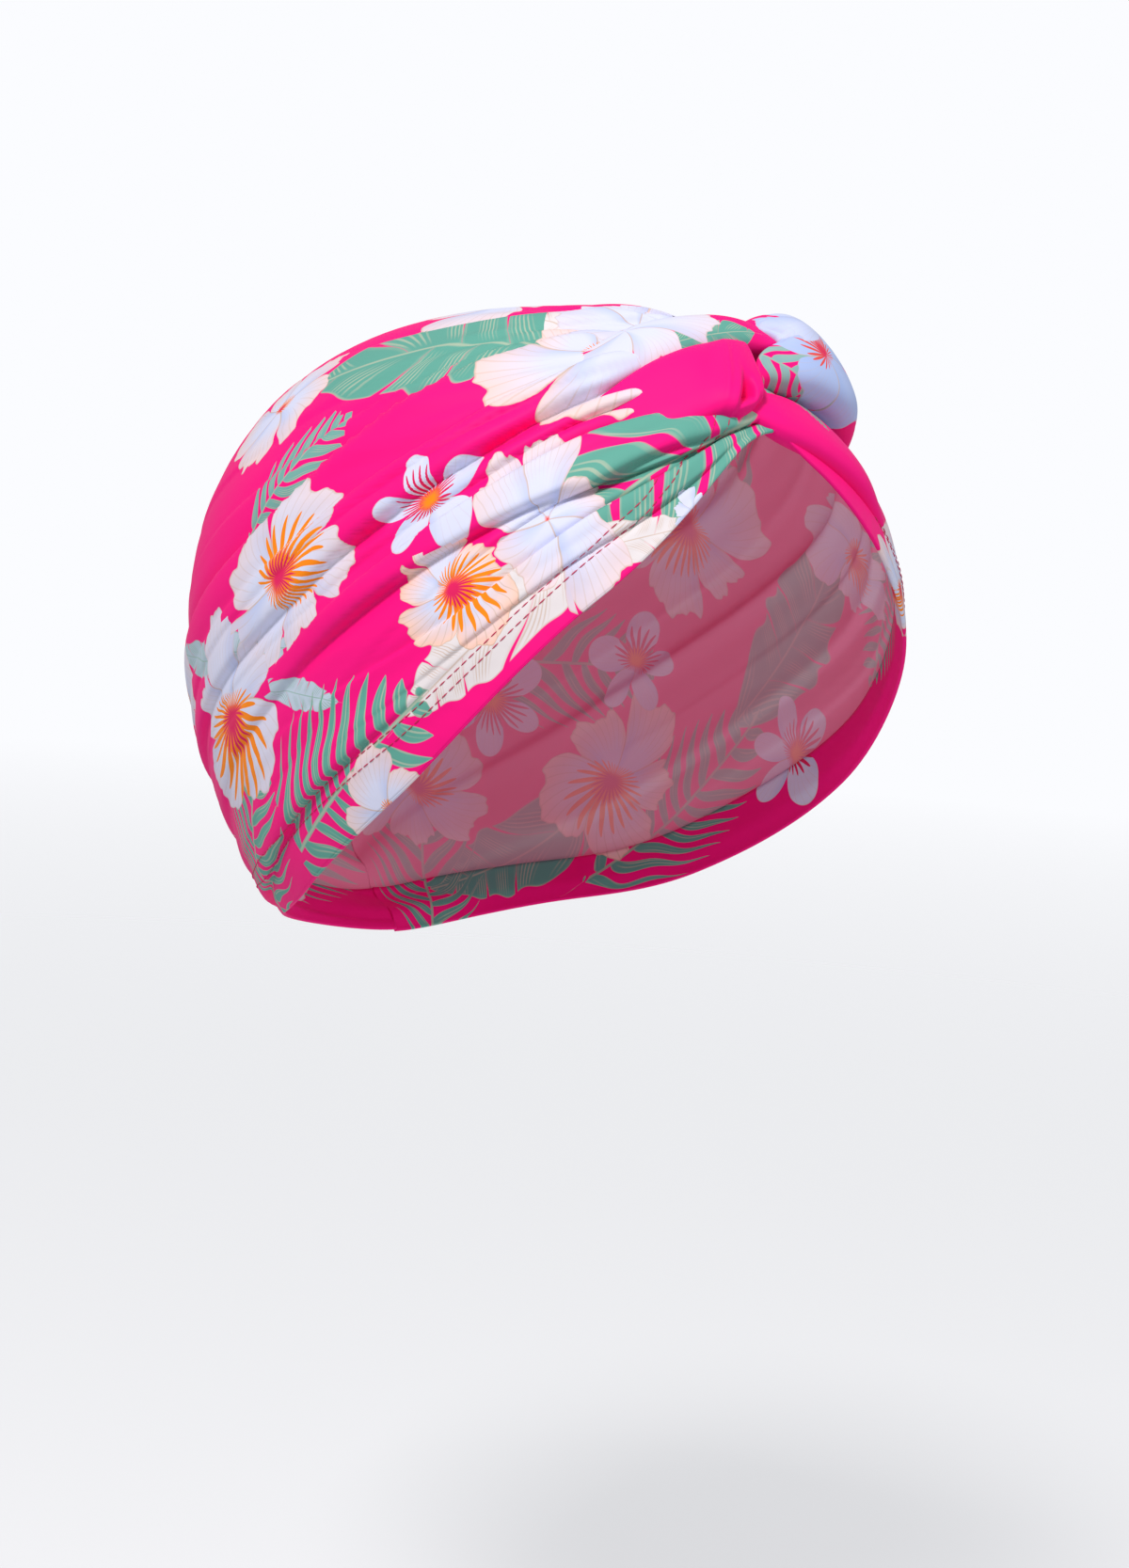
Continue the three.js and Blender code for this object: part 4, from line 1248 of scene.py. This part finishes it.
def place_camera():
    """Axes from the line of sight: right, up and backwards, then turned by the roll."""
    azimuth = math.radians(CAMERA_AZIMUTH)
    away = np.array([math.sin(azimuth) * CAMERA_DISTANCE, -math.cos(azimuth) * CAMERA_DISTANCE,
                     CAMERA_ABOVE_MIDDLE])
    look = unit(-away)
    level = unit(np.cross(look, [0.0, 0.0, 1.0]))
    upright = np.cross(level, look)
    roll = math.radians(CAMERA_ROLL)
    right = math.cos(roll) * level + math.sin(roll) * upright
    up = math.cos(roll) * upright - math.sin(roll) * level
    data = bpy.data.cameras.new("camera")
    data.sensor_width = SENSOR
    data.lens = SENSOR * FOCAL_PIXELS / IMAGE_HEIGHT
    data.shift_x = (IMAGE_WIDTH / 2 - AIM_PIXEL[0]) / IMAGE_HEIGHT
    data.shift_y = (AIM_PIXEL[1] - IMAGE_HEIGHT / 2) / IMAGE_HEIGHT
    camera = bpy.data.objects.new("camera", data)
    stand(camera, (away + FORM_MIDDLE) * MM, right, up, -look)
    bpy.context.scene.camera = camera
    print("camera at mm:", np.round(away + FORM_MIDDLE, 1).tolist(), "lens", round(data.lens, 2))


place_camera()

# %% [markdown]
# The cap is shown as worn, so it floats above a plain pale floor. The light is that of a bright room:
# a large soft lamp high on the camera's left, a weaker one from the right, and a pale sky that fills
# the shadows and keeps the background white.

# %% Floor and light
FLOOR_BELOW = 420.0
FLOOR_HALF = 3000.0
FLOOR_SEEN = 0.5
FLOOR_FADES_FROM = 0.5
FLOOR_GONE_AT = 2.7
FLOOR_WHITE = colour(250, 250, 252)
SKY = colour(251, 252, 255)
SKY_LIGHT = 0.43
SKY_SEEN = 1.0


def make_floor():
    """A square far below the cap; its alpha falls to nothing before its edge, so no horizon shows."""
    mesh = bpy.data.meshes.new("floor")
    half = FLOOR_HALF * MM
    low = -FLOOR_BELOW * MM
    mesh.from_pydata([(-half, -half, low), (half, -half, low), (half, half, low), (-half, half, low)],
                     [], [(0, 1, 2, 3)])
    floor = bpy.data.objects.new("floor", mesh)
    bpy.context.scene.collection.objects.link(floor)
    material, tree, shader = new_material("pale_floor", {"Base Color": FLOOR_WHITE, "Roughness": 0.9})
    place = add_node(tree, "ShaderNodeTexCoord").outputs["Object"]
    length = add_node(tree, "ShaderNodeVectorMath", {"operation": "LENGTH"}, {0: place})
    away = Number(tree, length.outputs["Value"])
    seen = FLOOR_SEEN * (1.0 - away.rise(FLOOR_FADES_FROM, FLOOR_GONE_AT))
    tree.links.new(seen.socket, shader.inputs["Alpha"])
    mesh.materials.append(material)


def make_sky():
    """A pale sky that lights the cap softly and stands behind it as plain white."""
    world = bpy.data.worlds.new("pale_sky")
    bpy.context.scene.world = world
    world.use_nodes = True
    tree = world.node_tree
    straight = Number(tree, add_node(tree, "ShaderNodeLightPath").outputs["Is Camera Ray"])
    background = tree.nodes["Background"]
    background.inputs["Color"].default_value = SKY
    tree.links.new((straight * (SKY_SEEN - SKY_LIGHT) + SKY_LIGHT).socket, background.inputs["Strength"])


def make_lamp(name, place, size, power, tint):
    """A square lamp at a place in metres, turned towards the cap."""
    data = bpy.data.lights.new(name, "AREA")
    data.size = size
    data.energy = power
    data.color = tint
    backwards = unit(np.array(place) - FORM_MIDDLE * MM)
    right = unit(np.cross([0.0, 0.0, 1.0], backwards))
    stand(bpy.data.objects.new(name, data), place, right, np.cross(backwards, right), backwards)


make_floor()
make_sky()
make_lamp("key_lamp", place=(-1.0, -0.55, 1.25), size=0.4, power=23.5, tint=(1.0, 0.98, 0.97))
make_lamp("fill_lamp", place=(0.9, -1.6, 0.6), size=0.8, power=6.0, tint=(0.94, 0.96, 1.0))
bpy.context.scene.view_settings.view_transform = "Standard"
